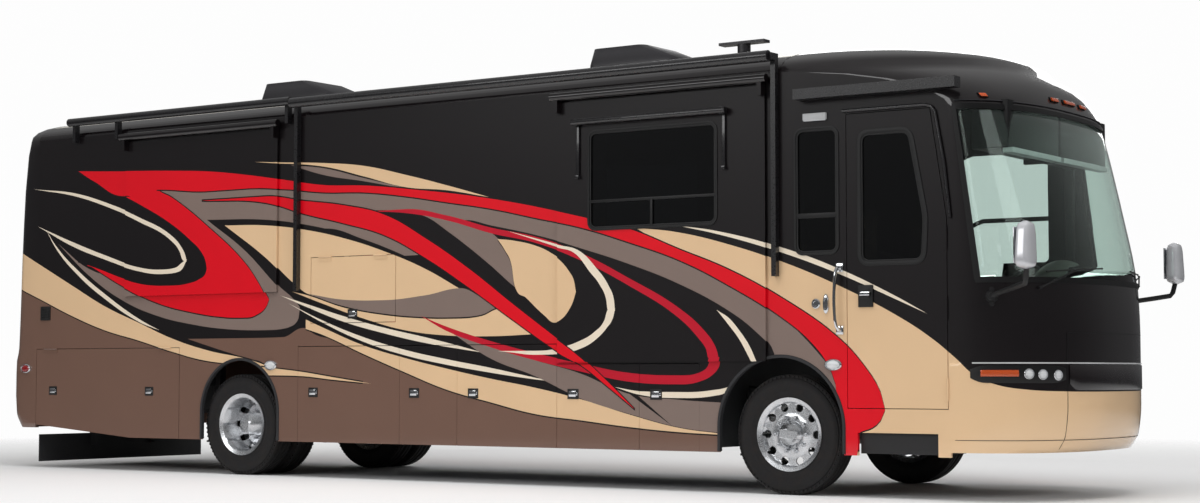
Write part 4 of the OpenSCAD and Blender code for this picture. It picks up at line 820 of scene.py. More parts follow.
# ---------- pieces ----------
FINISHES = {
    "paint": ["right_wall", "left_wall", "skirt_panels", "front_cap", "front_bumper", "rear_cap",
              "entry_door", "fridge_door", "engine_hatch", "lounge_slide", "bedroom_slide", "galley_slide",
              "right_rear_door", "left_rear_door"] + [n for n in NODES if "bay_door" in n],
    "roof": ["roof"], "windshield": ["windshield"],
    "side_glass": ["window_glass", "entry_door_glass", "lounge_glass", "galley_glass"],
    "chassis": ["chassis_frame", "front_axle", "rear_axle", "levelling_jacks", "right_knuckle",
                "left_knuckle"],
    "engine": ["engine_block"], "floor": ["house_floor"], "liner": ["storage_bays"], "lamp_band": ["lamps"],
    "trim": ["dashboard"], "soft_black": ["steering_wheel", "wipers"], "cloth": ["cab_seats"],
    "mirror_shell": ["mirrors"], "shroud": ["air_conditioners", "roof_antenna"],
    "awning": ["patio_awning", "door_awning"], "step": ["entry_step"], "flap": ["rock_guard"],
    "tyre": [n for n in NODES if "tyre" in n], "alloy": [n for n in NODES if "rim" in n],
}


def finish_nodes():
    """Gives each of the frame's nodes its material."""
    for key, names in FINISHES.items():
        for name in names:
            node = NODES[name]
            node.data.materials.clear()
            node.data.materials.append(MATERIALS[key])


def tyre_profile(y):
    """(radius, y) points of a truck tyre with a grooved tread and plain sides, y its middle."""
    r0, r1 = TYRE_R * 0.584 + 0.001, TYRE_R
    w = TYRE_W / 2
    outer = [(r0, 0.100), (r0 + 0.03, 0.116), (r0 + 0.055, 0.121), (r0 + 0.06, 0.124), (r0 + 0.072, 0.124),
             (r0 + 0.078, 0.1225), (r0 + 0.12, w - 0.001), (r0 + 0.135, w), (r0 + 0.15, w - 0.003),
             (r1 - 0.034, w - 0.014), (r1 - 0.03, w - 0.022), (r1 - 0.012, w - 0.025),
             (r1 - 0.001, w - 0.034)]
    tread = [(r1, 0.088), (r1, 0.066), (r1 - 0.014, 0.062), (r1 - 0.014, 0.053), (r1, 0.049), (r1, 0.019),
             (r1 - 0.014, 0.015), (r1 - 0.014, 0.006), (r1, 0.002)]
    half = outer + tread
    profile = [(r, y + v) for r, v in half] + [(r, y - v) for r, v in reversed(half)]
    profile += [(r0, y - 0.07), (r0 + 0.05, y - 0.055), (r0 + 0.05, y + 0.055), (r0, y + 0.07)]
    return profile


def tyres(prop):
    """Treaded tyres with shoulder blocks; the rear bodies carry two each."""
    for body, node, _, x, _ in WHEELS:
        lo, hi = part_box(node)
        places = [lo.y + TYRE_W / 2] + ([hi.y - TYRE_W / 2] if "rear" in body else [])
        bm = bmesh.new()
        for y in places:
            turned(bm, tyre_profile(y), (x, TYRE_R), steps=144, closed=True)
        obj = finish_piece(node + "_treaded", bm, body, ["tyre"], angle=30)
        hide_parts(node)
        for i, y in enumerate(places):
            for s in (-1, 1):
                repeated(f"{body}_shoulder_blocks_{i}_{'a' if s < 0 else 'b'}", True, body, "tyre", "tyre",
                         Count=prop.tread_blocks, Size=(0.010, 0.0, 0.03), Sides=4,
                         Centre=(x, y + s * 0.104, TYRE_R), Reach=(TYRE_R - 0.0175, 0, 0), Tilt=(0, 0, 0))


def wheel_details(prop):
    """Hub covers, wheel nuts and their caps."""
    for body, _, node, x, out in WHEELS:
        lo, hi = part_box(node)
        front = "front" in body
        edge = lo.y if out < 0 else hi.y
        disc = (edge - out * 0.07) if front else (edge - out * 0.26)
        bm = bmesh.new()
        if front:
            start = edge
            profile = [(0.0, start - out * 0.002), (0.045, start - out * 0.004),
                       (0.068, start - out * 0.012), (0.078, start - out * 0.026),
                       (0.084, start - out * 0.05)]
        else:
            start = edge - out * 0.12
            profile = [(0.0, start), (0.05, start - out * 0.002), (0.088, start - out * 0.012),
                       (0.0945, start - out * 0.03), (0.0945, start - out * 0.06)]
        turned(bm, profile, (x, TYRE_R), steps=48)
        turned(bm, [(0.112, disc + out * 0.016), (0.118, disc + out * 0.022), (0.124, disc + out * 0.016)],
               (x, TYRE_R), steps=64)
        finish_piece(body + "_hub_cover", bm, body, ["alloy"])
        repeated(body + "_wheel_nuts", True, body, "wheel_alloy", "chrome", Count=prop.wheel_nuts,
                 Size=(0.0165, 0, 0.036), Sides=6, Centre=(x, disc + out * 0.018, TYRE_R),
                 Reach=(STUD_RING, 0, 0),
                 Tilt=(0, 0, 0))
        repeated(body + "_nut_caps", True, body, "wheel_alloy", "alloy", Count=prop.wheel_nuts,
                 Size=(0.0095, 0, 0.05), Sides=8, Centre=(x, disc + out * 0.022, TYRE_R),
                 Reach=(STUD_RING, 0, 0),
                 Tilt=(0, 0, 0))


def wheels_pierced():
    """Copies of the wheels with their hand holes opened out to full size."""
    for body, _, node, x, _ in WHEELS:
        obj = new_object(node + "_pierced", merged_copy(node))
        lo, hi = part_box(node)
        cutter = bmesh.new()
        for k in range(HAND_HOLES):
            t = math.radians(360 / HAND_HOLES * (k + 0.5))
            px, pz = x + HAND_HOLE_RING * math.sin(t), TYRE_R + HAND_HOLE_RING * math.cos(t)
            tube(cutter, [(px, lo.y - 0.05, pz), (px, hi.y + 0.05, pz)], HAND_HOLE_R, 20)
        cut_mesh = bpy.data.meshes.new("cutter")
        bmesh.ops.recalc_face_normals(cutter, faces=cutter.faces)
        cutter.to_mesh(cut_mesh)
        cutter.free()
        tool = new_object("cutter", cut_mesh)
        mod = obj.modifiers.new("Holes", "BOOLEAN")
        mod.operation, mod.object, mod.solver = "DIFFERENCE", tool, "EXACT"
        graph = bpy.context.evaluated_depsgraph_get()
        pierced = bpy.data.meshes.new_from_object(obj.evaluated_get(graph))
        obj.modifiers.clear()
        obj.data = pierced
        pierced.name = obj.name
        bpy.data.objects.remove(tool)
        pierced.materials.clear()
        pierced.materials.append(MATERIALS["alloy"])
        pierced.shade_smooth()
        pierced.set_sharp_from_angle(angle=math.radians(24))
        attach(obj, body)
        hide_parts(node)


def latch(name, body, side, x, z):
    """Paddle latch: a shallow dish with a bright paddle in it."""
    bm = bmesh.new()
    side_box(bm, side, x - 0.058, x + 0.058, z - 0.044, z + 0.044, -0.002, 0.005, 0)
    side_box(bm, side, x - 0.04, x + 0.034, z - 0.024, z + 0.026, 0.004, 0.011, 1)
    side_box(bm, side, x + 0.036, x + 0.05, z - 0.012, z + 0.012, 0.004, 0.008, 1)
    return finish_piece(name, bm, body, ["gasket", "chrome"], bevel=0.004)


RIGHT_LATCHES = [("right_bay_door_1", -1.236), ("right_bay_door_2", -2.095), ("right_bay_door_3", -3.194),
                 ("right_bay_door_4", -3.879), ("right_bay_door_5", -5.119)]
LEFT_LATCHES = [("left_bay_door_1", -2.05), ("left_bay_door_2", -3.85), ("left_bay_door_3", -5.1)]


def latches():
    """Paddle latches on the storage doors, tail doors and fridge door."""
    for body, x in RIGHT_LATCHES:
        latch(body + "_latch", body, -1, x, LATCH_Z)
    for body, x in LEFT_LATCHES:
        latch(body + "_latch", body, 1, x, LATCH_Z)
    for side, body in ((-1, "right_rear_door"), (1, "left_rear_door")):
        for k, x in enumerate((-8.772, -7.338)):
            latch(f"{body}_latch_{k}", body, side, x, LATCH_Z)
    latch("fridge_door_latch", "fridge_door", -1, -4.631, 1.545)


def window_frames():
    """Gaskets and frames round every pane."""
    wall = [("aft_entry", -1, round_rect(0.124, 0.496, 1.957, 2.955, 0.06), "coach", 0.0),
            ("driver", 1, round_rect(0.25, 1.25, 1.95, 2.955, 0.06), "coach", 0.0),
            ("bedroom", 1, round_rect(-8.41, -7.81, 2.235, 2.955, 0.06), "coach", 0.0),
            ("lounge", -1, round_rect(-1.905, -0.628, 2.235, 3.07, 0.06), "lounge_slide", 0.025),
            ("galley", 1, round_rect(-3.86, -2.4, 2.15, 3.07, 0.06), "galley_slide", 0.025)]
    for name, side, outline, body, proud in wall:
        bm = bmesh.new()
        frame_ring(bm, side, outline, 0.02, proud - 0.004, proud + 0.007)
        frame_ring(bm, side, outline, -0.016, proud - 0.012, proud + 0.002)
        xs = [p[0] for p in outline]
        zs = [p[1] for p in outline]
        if name in ("aft_entry", "driver"):
            bar = 2.257 if name == "aft_entry" else 2.35
            side_box(bm, side, min(xs), max(xs), bar - 0.02, bar + 0.02, proud - 0.013, proud + 0.004)
        else:
            mid = (min(xs) + max(xs)) / 2
            top = 2.47 if name == "lounge" else max(zs)
            side_box(bm, side, mid - 0.012, mid + 0.012, min(zs), top, proud - 0.013, proud + 0.003)
            if name == "lounge":
                side_box(bm, side, min(xs), max(xs), top - 0.012, top + 0.012, proud - 0.013, proud + 0.004)
        finish_piece(name + "_window_frame", bm, body, ["gasket"], bevel=0.002)
    door = [(0.714, 1.87), (1.244, 1.87), (1.264, 2.2), (1.134, 2.89), (0.714, 2.89)]
    bm = bmesh.new()
    outline = soften(door, 0.07)
    frame_ring(bm, -1, outline, 0.035, -0.004, 0.006)
    frame_ring(bm, -1, outline, -0.014, -0.012, 0.002)
    finish_piece("entry_door_window_frame", bm, "entry_door", ["gasket"], bevel=0.002)


def soften(corners, r, steps=5):
    """Rounds the corners of an outline by quadratic arcs."""
    n = len(corners)
    spots = []
    for i, c in enumerate(corners):
        a = Vector(corners[i - 1]) - Vector(c)
        b = Vector(corners[(i + 1) % n]) - Vector(c)
        p = Vector(c) + a.normalized() * r
        q = Vector(c) + b.normalized() * r
        for k in range(steps + 1):
            t = k / steps
            spots.append(tuple((1 - t) ** 2 * p + 2 * t * (1 - t) * Vector(c) + t * t * q))
    return spots


def entry_fittings():
    """Door handle, grab handle, wall fittings and porch lamp."""
    bm = bmesh.new()
    side_box(bm, -1, 0.685, 0.815, 1.51, 1.685, -0.001, 0.012, 0)
    side_box(bm, -1, 0.70, 0.785, 1.575, 1.655, 0.011, 0.017, 1)
    side_box(bm, -1, 0.712, 0.80, 1.60, 1.632, 0.03, 0.042, 2)
    side_box(bm, -1, 0.712, 0.735, 1.60, 1.632, 0.015, 0.032, 2)
    side_box(bm, -1, 0.777, 0.80, 1.60, 1.632, 0.015, 0.032, 2)
    finish_piece("entry_door_handle", bm, "entry_door", ["gasket", "soft_black", "chrome"],
                 bevel=0.004)
    bm = bmesh.new()
    y = side_y(-1, 0.055)
    wall = side_y(-1, 0.0)
    points = [(AXLE + 0.515, wall, 1.83), (AXLE + 0.512, y + 0.02, 1.83), (AXLE + 0.508, y, 1.80)]
    points += [(AXLE + 0.505 - 0.012 * math.sin(math.pi * k / 8), y, 1.80 - 0.44 * k / 8)
               for k in range(1, 8)]
    points += [(AXLE + 0.512, y, 1.36), (AXLE + 0.52, y + 0.02, 1.33), (AXLE + 0.525, wall, 1.33)]
    tube(bm, points, 0.014, 14)
    for z in (1.83, 1.33):
        side_box(bm, -1, 0.485, 0.55, z - 0.035, z + 0.035, -0.001, 0.01)
    finish_piece("entry_grab_handle", bm, "coach", ["chrome"], bevel=0.003)
    bm = bmesh.new()
    for x, z, rx, rz in ((0.301, 1.545, 0.04, 0.04), (0.392, 1.543, 0.028, 0.078)):
        rings = []
        for grow, out in ((1.0, 0.0), (1.0, 0.008), (0.8, 0.014), (0.55, 0.014), (0.5, 0.008)):
            rings.append([(AXLE + x + rx * grow * math.cos(t), side_y(-1, out), z + rz * grow * math.sin(t))
                          for t in circle(24)])
        loft(bm, rings)
    finish_piece("entry_wall_fittings", bm, "coach", ["chrome"])
    bm = bmesh.new()
    side_box(bm, -1, 0.2, 0.41, 3.03, 3.085, -0.001, 0.028, 0)
    side_box(bm, -1, 0.205, 0.405, 3.022, 3.034, 0.002, 0.025, 1)
    finish_piece("porch_lamp", bm, "coach", ["plate", "clear"], bevel=0.004)


def smooth_copies():
    """Smooth skins for the nodes that are shells of flat triangles."""
    for node, key, slot, angle in (("front_cap", "paint", "wall_paint", 38),
                                   ("front_bumper", "paint", "skirt_paint", 38),
                                   ("windshield", "windshield", "windshield_glass", 40),
                                   ("rear_cap", "paint", "wall_paint", 38),
                                   ("roof", "roof", "roof_skin", 30),
                                   ("air_conditioners", "shroud", "roof_plastic", 40)):
        mesh = merged_copy(node, clean=True)
        mesh.shade_smooth()
        mesh.set_sharp_from_angle(angle=math.radians(angle))
        obj = new_object(node + "_smooth", mesh)
        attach(obj, "coach")
        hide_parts(node)


def surface_strip(bm, spots, out0, out1, mat=0):
    """A closed band on the cap: spots are (low z, high z, angle); out0 and out1 its inner and outer faces."""
    rings = []
    for z0, z1, u in spots:
        rings.append([front_point(z0, u, out0), front_point(z0, u, out1), front_point(z1, u, out1),
                      front_point(z1, u, out0)])
    loft(bm, rings, mat=mat)


def span(a, b, n):
    """n even steps from a to b."""
    return [a + (b - a) * k / n for k in range(n + 1)]


def front_fittings():
    """Head lamps, marker lamps, trim line, middle panel and the windshield's gasket."""
    for side, tag in ((1, "right"), (-1, "left")):
        bm = bmesh.new()
        spots = []
        for k, u in enumerate(span(81, 33, 24)):
            shrink = 0.055 * (max(0, 4 - k) / 4) ** 2 + 0.04 * (max(0, k - 20) / 4) ** 2
            spots.append((0.912 + shrink * 0.7, 1.048 - shrink * 0.6, side * u))
        surface_strip(bm, spots, -0.004, 0.004)
        finish_piece(f"{tag}_lamp_housing", bm, "coach", ["gasket"], bevel=0.003)
        bm = bmesh.new()
        surface_strip(bm, [(0.962, 1.012, side * u) for u in span(76, 57.5, 12)], 0.002, 0.009)
        finish_piece(f"{tag}_turn_lamp", bm, "coach", ["amber"], bevel=0.003)
        bm = bmesh.new()
        for u, z in ((52.5, 0.982), (45.5, 0.977), (37.5, 0.972)):
            c = front_point(z, side * u, 0.0)
            east = (front_point(z, side * (u + 1)) - c).normalized()
            north = Vector((0, 0, 1))
            away = (front_point(z, side * u, 0.05) - c).normalized()
            for mat, profile in ((1, ((0.043, 0.0), (0.043, 0.010), (0.038, 0.014), (0.034, 0.008),
                                      (0.034, 0.0))),
                                 (0, ((0.034, 0.004), (0.030, 0.010), (0.02, 0.015), (0.008, 0.017),
                                      (0.001, 0.0175)))):
                loft(bm, [[c + away * h + (east * math.cos(t) + north * math.sin(t)) * r
                           for t in circle(32)] for r, h in profile], mat=mat)
        finish_piece(f"{tag}_head_lamps", bm, "coach", ["clear", "chrome"], angle=60)
    # The trim line gets the pale grey plate finish, not chrome: partly the line's own silver tone, partly a
    # painted reflection that keeps it bright whatever it faces.
    bm = bmesh.new()
    surface_strip(bm, [(1.060, 1.071, u) for u in span(80, -80, 80)], -0.003, 0.005)
    finish_piece("front_trim_line", bm, "coach", ["plate"])
    bm = bmesh.new()
    spots = []
    for u in span(31.2, -31.2, 40):
        drop = 0.05 * max(0, (abs(u) - 26) / 5.2) ** 2
        spots.append((0.856 + drop, 1.054, u))
    surface_strip(bm, spots, -0.003, 0.008)
    finish_piece("front_middle_panel", bm, "coach", ["gloss_black"], bevel=0.004)
    bm = bmesh.new()
    for u in (32.2, -32.2):
        loft(bm, [[front_point(z, u - 0.12, -0.004), front_point(z, u - 0.12, 0.0015),
                   front_point(z, u + 0.12, 0.0015), front_point(z, u + 0.12, -0.004)]
                  for z in span(0.4, 1.3, 30)])
    surface_strip(bm, [(0.470, 0.474, u) for u in span(88, -88, 80)], -0.004, 0.0015)
    surface_strip(bm, [(1.298, 1.302, u) for u in span(32, -32, 40)], -0.004, 0.0015)
    finish_piece("front_panel_seams", bm, "coach", ["gasket"])
    bm = bmesh.new()
    for u, z in ((59, 3.146), (8.5, 3.178), (0, 3.182), (-8.5, 3.178), (-59, 3.146)):
        half = 2.4 if abs(u) > 20 else 2.1
        surface_strip(bm, [(z - 0.014, z + 0.014, u + d) for d in span(half, -half, 6)], -0.004, 0.022, 0)
        surface_strip(bm, [(z - 0.019, z + 0.019, u + d) for d in span(half * 1.25, -half * 1.25, 6)], -0.004,
                      0.007, 1)
    finish_piece("marker_lamps", bm, "coach", ["amber", "gasket"], bevel=0.003)
    bm = bmesh.new()
    edge = []
    rows = span(SILL_Z, HEAD_Z, 24)
    for z in rows:
        edge.append((z, glass_angle(z)))
    for z in (SILL_Z, HEAD_Z):
        a = glass_angle(z)
        surface_strip(bm, [(z - 0.022, z + 0.022, u) for u in span(a + 1.2, -a - 1.2, 60)], -0.012, 0.005)
    for s in (1, -1):
        loft(bm, [[front_point(z, s * (a + 1.6), -0.012), front_point(z, s * (a + 1.6), 0.005),
                   front_point(z, s * (a - 1.6), 0.005), front_point(z, s * (a - 1.6), -0.012)] for z,
                  a in edge])
    finish_piece("windshield_gasket", bm, "coach", ["gasket"])
    bm = bmesh.new()
    surface_strip(bm, [(3.098, 3.106, u) for u in span(84, -84, 80)], -0.004, 0.009)
    finish_piece("brow_moulding", bm, "coach", ["shroud"], bevel=0.002)


def glass_angle(z):
    """Angle of the windshield's side edge at a height."""
    x = CAP_SEAM + 0.225 - 0.175 * (z - SILL_Z) / (HEAD_Z - SILL_Z)
    share = (x - CAP_SEAM) / (OVERHANG - smooth_at(NOSE, z) - CAP_SEAM)
    return math.degrees(math.acos(min(max(share, 0), 1) ** (2.19 / 2)))


def mirror_pair():
    """Bright rounded heads on black arms, in the room of the frame's own mirrors."""
    for side, tag in ((-1, "right"), (1, "left")):
        bm = bmesh.new()
        cx, cy = AXLE + 2.245, side * 1.6
        rings = []
        for t in span(0, 1, 16):
            z = 1.757 + 0.36 * t
            cap = math.sin(math.acos(abs(2 * t - 1) ** 3)) ** 0.6 if 0 < t < 1 else 0.03
            wide = (0.112 - 0.03 * t) * max(cap, 0.25)
            deep = (0.066 - 0.012 * t) * max(cap, 0.25)
            lean = 0.012 * side * (1 - t)
            rings.append([(cx + deep * math.copysign(abs(math.cos(a)) ** 0.6, math.cos(a)),
                           cy + lean + wide * math.copysign(abs(math.sin(a)) ** 0.6, math.sin(a)), z)
                          for a in circle(40)])
        loft(bm, rings)
        finish_piece(f"{tag}_mirror_head", bm, "coach", ["mirror_shell"], angle=70)
        bm = bmesh.new()
        add_box(bm, cx - 0.072, cx - 0.062, cy - 0.078, cy + 0.078, 1.80, 2.07)
        finish_piece(f"{tag}_mirror_glass", bm, "coach", ["chrome"], bevel=0.004)
        bm = bmesh.new()
        foot = front_point(1.575, -side * 70, 0.0)
        away = (front_point(1.575, -side * 70, 0.05) - foot).normalized()
        elbow = Vector((cx - 0.03, side * 1.56, 1.655))
        start = foot + away * 0.05
        tube(bm,
             [start, start * 0.75 + elbow * 0.25 + Vector((0, 0, 0.004)), start * 0.3 + elbow * 0.7, elbow,
              elbow + Vector((0.015, side * 0.025, 0.03)), (cx, cy, 1.76)], 0.021, 14)
        tube(bm, [foot - away * 0.002, foot + away * 0.075], [0.05, 0.032], 20)
        for dz in (-0.055, 0.055):
            spot = foot + Vector((0, 0, dz))
            tube(bm, [spot - away * 0.002, spot + away * 0.022], 0.02, 12)
        finish_piece(f"{tag}_mirror_arm", bm, "coach", ["soft_black"])
        if side < 0:
            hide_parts("mirrors")


def oval(bm, side, x, z, rx, rz, steps=28):
    """An oval lamp on a side wall: bright rim (1) and lens (0)."""
    for mat, rings in ((1, ((1.0, 0.0), (1.0, 0.012), (0.86, 0.018), (0.8, 0.010))),
                       (0, ((0.82, 0.006), (0.7, 0.016), (0.4, 0.021), (0.05, 0.022)))):
        loft(bm, [[(AXLE + x + rx * g * math.cos(t), side_y(side, out), z + rz * g * math.sin(t))
                   for t in circle(steps)] for g, out in rings], mat=mat)


def side_fittings():
    """Side lamps, arch flares, door drip rail, window awning and tail vent."""
    for side, tag in ((-1, "right"), (1, "left")):
        for name, x, z, lens_key in (("front", 0.455, 1.054, "clear"), ("rear", -5.668, 1.065, "clear"),
                                     ("tail", -9.202, 1.04, "ruby")):
            bm = bmesh.new()
            oval(bm, side, x, z, 0.078, 0.048)
            finish_piece(f"{tag}_{name}_side_lamp", bm, "coach", [lens_key, "chrome"], angle=60)
        for name, x, half in (("front", -0.035, 0.582), ("rear", REAR_AXLE - AXLE + 0.025, 0.515)):
            bm = bmesh.new()
            centre = ARCH_TOP - half
            rings = []
            path = [(-half, ARCH_FOOT)] + [(half * math.cos(t), centre + half * math.sin(t))
                                           for t in span(math.pi, 0, 48)] + [(half, ARCH_FOOT)]
            for px, pz in path:
                away = Vector((px, 0, max(pz - centre, 0)))
                away = away.normalized()
                ring = []
                for grow, out in ((-0.012, -0.03), (-0.012, 0.008), (0.002, 0.013), (0.010, 0.010),
                                  (0.014, 0.0), (0.0, -0.002)):
                    ring.append((AXLE + x + px + away.x * grow, side_y(side, out), pz + away.z * grow))
                rings.append(ring)
            loft(bm, rings)
            finish_piece(f"{tag}_{name}_arch_flare", bm, "coach", ["flap"], angle=50)
    bm = bmesh.new()
    points = [(0.555, 3.085), (1.28, 3.085), (1.335, 3.07), (1.365, 3.03), (1.44, 2.62), (1.487, 2.19)]
    tube(bm, [(AXLE + x, side_y(-1, 0.014), z) for x, z in points], 0.013, 12)
    finish_piece("door_drip_rail", bm, "coach", ["awning"])
    bm = bmesh.new()
    top = 3.165
    tube(bm, [(AXLE - 2.06, side_y(-1, 0.075), top), (AXLE - 0.5, side_y(-1, 0.075), top)], 0.026, 20)
    for x in (-2.02, -0.54):
        side_box(bm, -1, x - 0.016, x + 0.016, 2.69, top, 0.024, 0.046)
        side_box(bm, -1, x - 0.02, x + 0.02, top - 0.03, top + 0.03, 0.024, 0.085)
        side_box(bm, -1, x - 0.02, x + 0.02, 2.675, 2.705, 0.024, 0.06)
    finish_piece("window_awning", bm, "lounge_slide", ["awning"], bevel=0.003)
    bm = bmesh.new()
    side_box(bm, -1, -8.975, -8.83, 1.545, 1.69, -0.002, 0.012)
    for k in range(5):
        side_box(bm, -1, -8.965, -8.84, 1.558 + 0.026 * k, 1.570 + 0.026 * k, 0.010, 0.02)
    finish_piece("tail_vent", bm, "coach", ["soft_black"], bevel=0.002)


def cab_interior():
    """Visor housing, instrument hood and inner pillars seen through the windshield."""
    # The visor housing gets the near-black gasket finish: partly its own dark colour, partly painted shade so
    # the band at the top of the cab reads dark behind the glass.
    bm = bmesh.new()
    xs = AXLE + 1.55
    for y0, y1 in ((-1.02, -0.02), (0.02, 1.02)):
        add_box(bm, xs, AXLE + 1.86, y0, y1, 2.74, 3.12)
    add_box(bm, xs, AXLE + 1.84, -0.02, 0.02, 2.70, 3.12)
    finish_piece("visor_housing", bm, "coach", ["gasket"], bevel=0.01)
    bm = bmesh.new()
    for y0, y1 in ((-1.0, -0.03), (0.03, 1.0)):
        add_box(bm, AXLE + 1.80, AXLE + 1.885, y0, y1, 2.70, 2.742)
    finish_piece("visor_edges", bm, "coach", ["plate"], bevel=0.004)
    bm = bmesh.new()
    rings = []
    for y in span(0.18, 1.1, 16):
        t = (y - 0.18) / 0.92
        rise = math.sin(math.pi * t) ** 0.55 if 0 < t < 1 else 0.0
        ring = []
        for a in span(0, math.pi, 14):
            ring.append((AXLE + 1.62 + 0.2 * math.cos(a) * (0.5 + 0.5 * rise), y,
                         1.66 + 0.27 * rise * math.sin(a) ** 0.7 + 0.012))
        rings.append(ring)
    loft(bm, rings)
    finish_piece("instrument_hood", bm, "coach", ["trim"], angle=60)
    bm = bmesh.new()
    for s in (-1, 1):
        add_box(bm, AXLE + 1.42, AXLE + 1.50, min(s * 1.225, s * 1.17), max(s * 1.225, s * 1.17), 1.4, 3.1)
    finish_piece("inner_pillars", bm, "coach", ["soft_black"], bevel=0.01)


def padded_block(name, body, box, cap):
    """A cushion: a block swollen by a cloth simulation, its points' travel capped."""
    bm = bmesh.new()
    add_box(bm, *box)
    bmesh.ops.recalc_face_normals(bm, faces=bm.faces)
    mesh = bpy.data.meshes.new(name)
    bm.to_mesh(mesh)
    bm.free()
    obj = new_object(name, mesh)
    scene = bpy.context.scene
    bevel = obj.modifiers.new("Round", "BEVEL")
    bevel.width, bevel.segments = 0.03, 3
    remesh = obj.modifiers.new("Remesh", "REMESH")
    remesh.mode, remesh.voxel_size = "VOXEL", 0.016
    graph = bpy.context.evaluated_depsgraph_get()
    shaped = bpy.data.meshes.new_from_object(obj.evaluated_get(graph))
    obj.modifiers.clear()
    obj.data = shaped
    shaped.name = name
    rest = [v.co.copy() for v in shaped.vertices]
    cloth = obj.modifiers.new("Cloth", "CLOTH")
    cloth.settings.use_pressure = True
    cloth.settings.uniform_pressure_force = 4.0
    cloth.settings.effector_weights.gravity = 0.0
    cloth.settings.quality = 4
    cloth.point_cache.frame_start, cloth.point_cache.frame_end = 1, 20
    for frame_no in range(1, 21):
        scene.frame_set(frame_no)
    graph = bpy.context.evaluated_depsgraph_get()
    swollen = bpy.data.meshes.new_from_object(obj.evaluated_get(graph))
    obj.modifiers.clear()
    obj.data = swollen
    swollen.name = name
    for v, start in zip(swollen.vertices, rest):
        move = v.co - start
        if move.length > cap:
            v.co = start + move * (cap / move.length)
    scene.frame_set(1)
    sub = obj.modifiers.new("Subdivision", "SUBSURF")
    sub.levels = sub.render_levels = 1
    obj.data.materials.clear()
    obj.data.materials.append(MATERIALS["cloth"])
    obj.data.shade_smooth()
    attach(obj, body)
    return obj


def cab_seating():
    """Padded cushions and backs on plain pedestals, where the frame's seats stand."""
    first = None
    floor = CAB_FLOOR
    for tag, y in (("right", -0.56), ("left", 0.62)):
        cushion = padded_block(f"{tag}_seat_cushion", "coach",
                               (AXLE + 0.405, AXLE + 0.85, y - 0.25, y + 0.25, floor + 0.275, floor + 0.375),
                               0.02)
        padded_block(f"{tag}_seat_back", "coach",
                     (AXLE + 0.285, AXLE + 0.39, y - 0.235, y + 0.235, floor + 0.4, floor + 1.045), 0.02)
        first = first or cushion
        bm = bmesh.new()
        add_box(bm, AXLE + 0.42, AXLE + 0.78, y - 0.18, y + 0.18, floor + 0.001, floor + 0.262)
        finish_piece(f"{tag}_seat_pedestal", bm, "coach", ["soft_black"], bevel=0.01)
    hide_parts("cab_seats")


def rear_fittings():
    """Louvres, blank plate and round lamps on the tail."""
    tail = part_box("engine_hatch")
    back = tail[0].x
    repeated("hatch_louvres", False, "engine_hatch", "soft_black", "soft_black", Count=11,
             Size=(0.014, 1.0, 0.016), Centre=(back - 0.002, 0, 0.79), Reach=(0, 0, 0.034), Tilt=(0, 0.5, 0))
    bm = bmesh.new()
    add_box(bm, back - 0.010, back + 0.004, -0.155, 0.155, 0.63, 0.755)
    finish_piece("rear_plate", bm, "engine_hatch", ["plate"], bevel=0.003)
    for s, tag in ((-1, "right"), (1, "left")):
        bm = bmesh.new()
        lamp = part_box("lamps")[0].x
        for k in range(3):
            tube(bm,
                 [(lamp + 0.004, s * 0.97, 1.372 + 0.083 * k), (lamp - 0.012, s * 0.97, 1.372 + 0.083 * k)],
                 [0.034, 0.028], 28, mat=0)
        finish_piece(f"{tag}_tail_lamp_lenses", bm, "coach", ["ruby"], angle=50)


def roof_fittings():
    """Grilles on the roof units."""
    low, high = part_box("air_conditioners")
    for i, x in enumerate((low.x, high.x - 0.96)):
        repeated(f"roof_unit_louvres_{i}", False, "coach", "roof_plastic", "soft_black", Count=12,
                 Size=(0.008, 0.012, 0.13), Centre=(x + 0.012, -0.165, low.z + 0.085), Reach=(0, 0.03, 0),
                 Tilt=(0, 0, 0))


class CoachFinish(bpy.types.PropertyGroup):
    """Sizes and counts a user would change."""
    tread_blocks: IntProperty(name="Tread blocks", description="Shoulder blocks round each tyre", default=72,
                              min=24, max=120)
    wheel_nuts: IntProperty(name="Wheel nuts", description="Nuts on each wheel", default=10, min=5, max=12)
    floor_tone: FloatVectorProperty(name="Floor", description="Colour of the studio floor", subtype="COLOR",
                                    default=(0.86, 0.86, 0.86))
    key_power: FloatProperty(name="Key light", description="Power of the overhead light", default=1500.0,
                             subtype="POWER", unit="POWER")


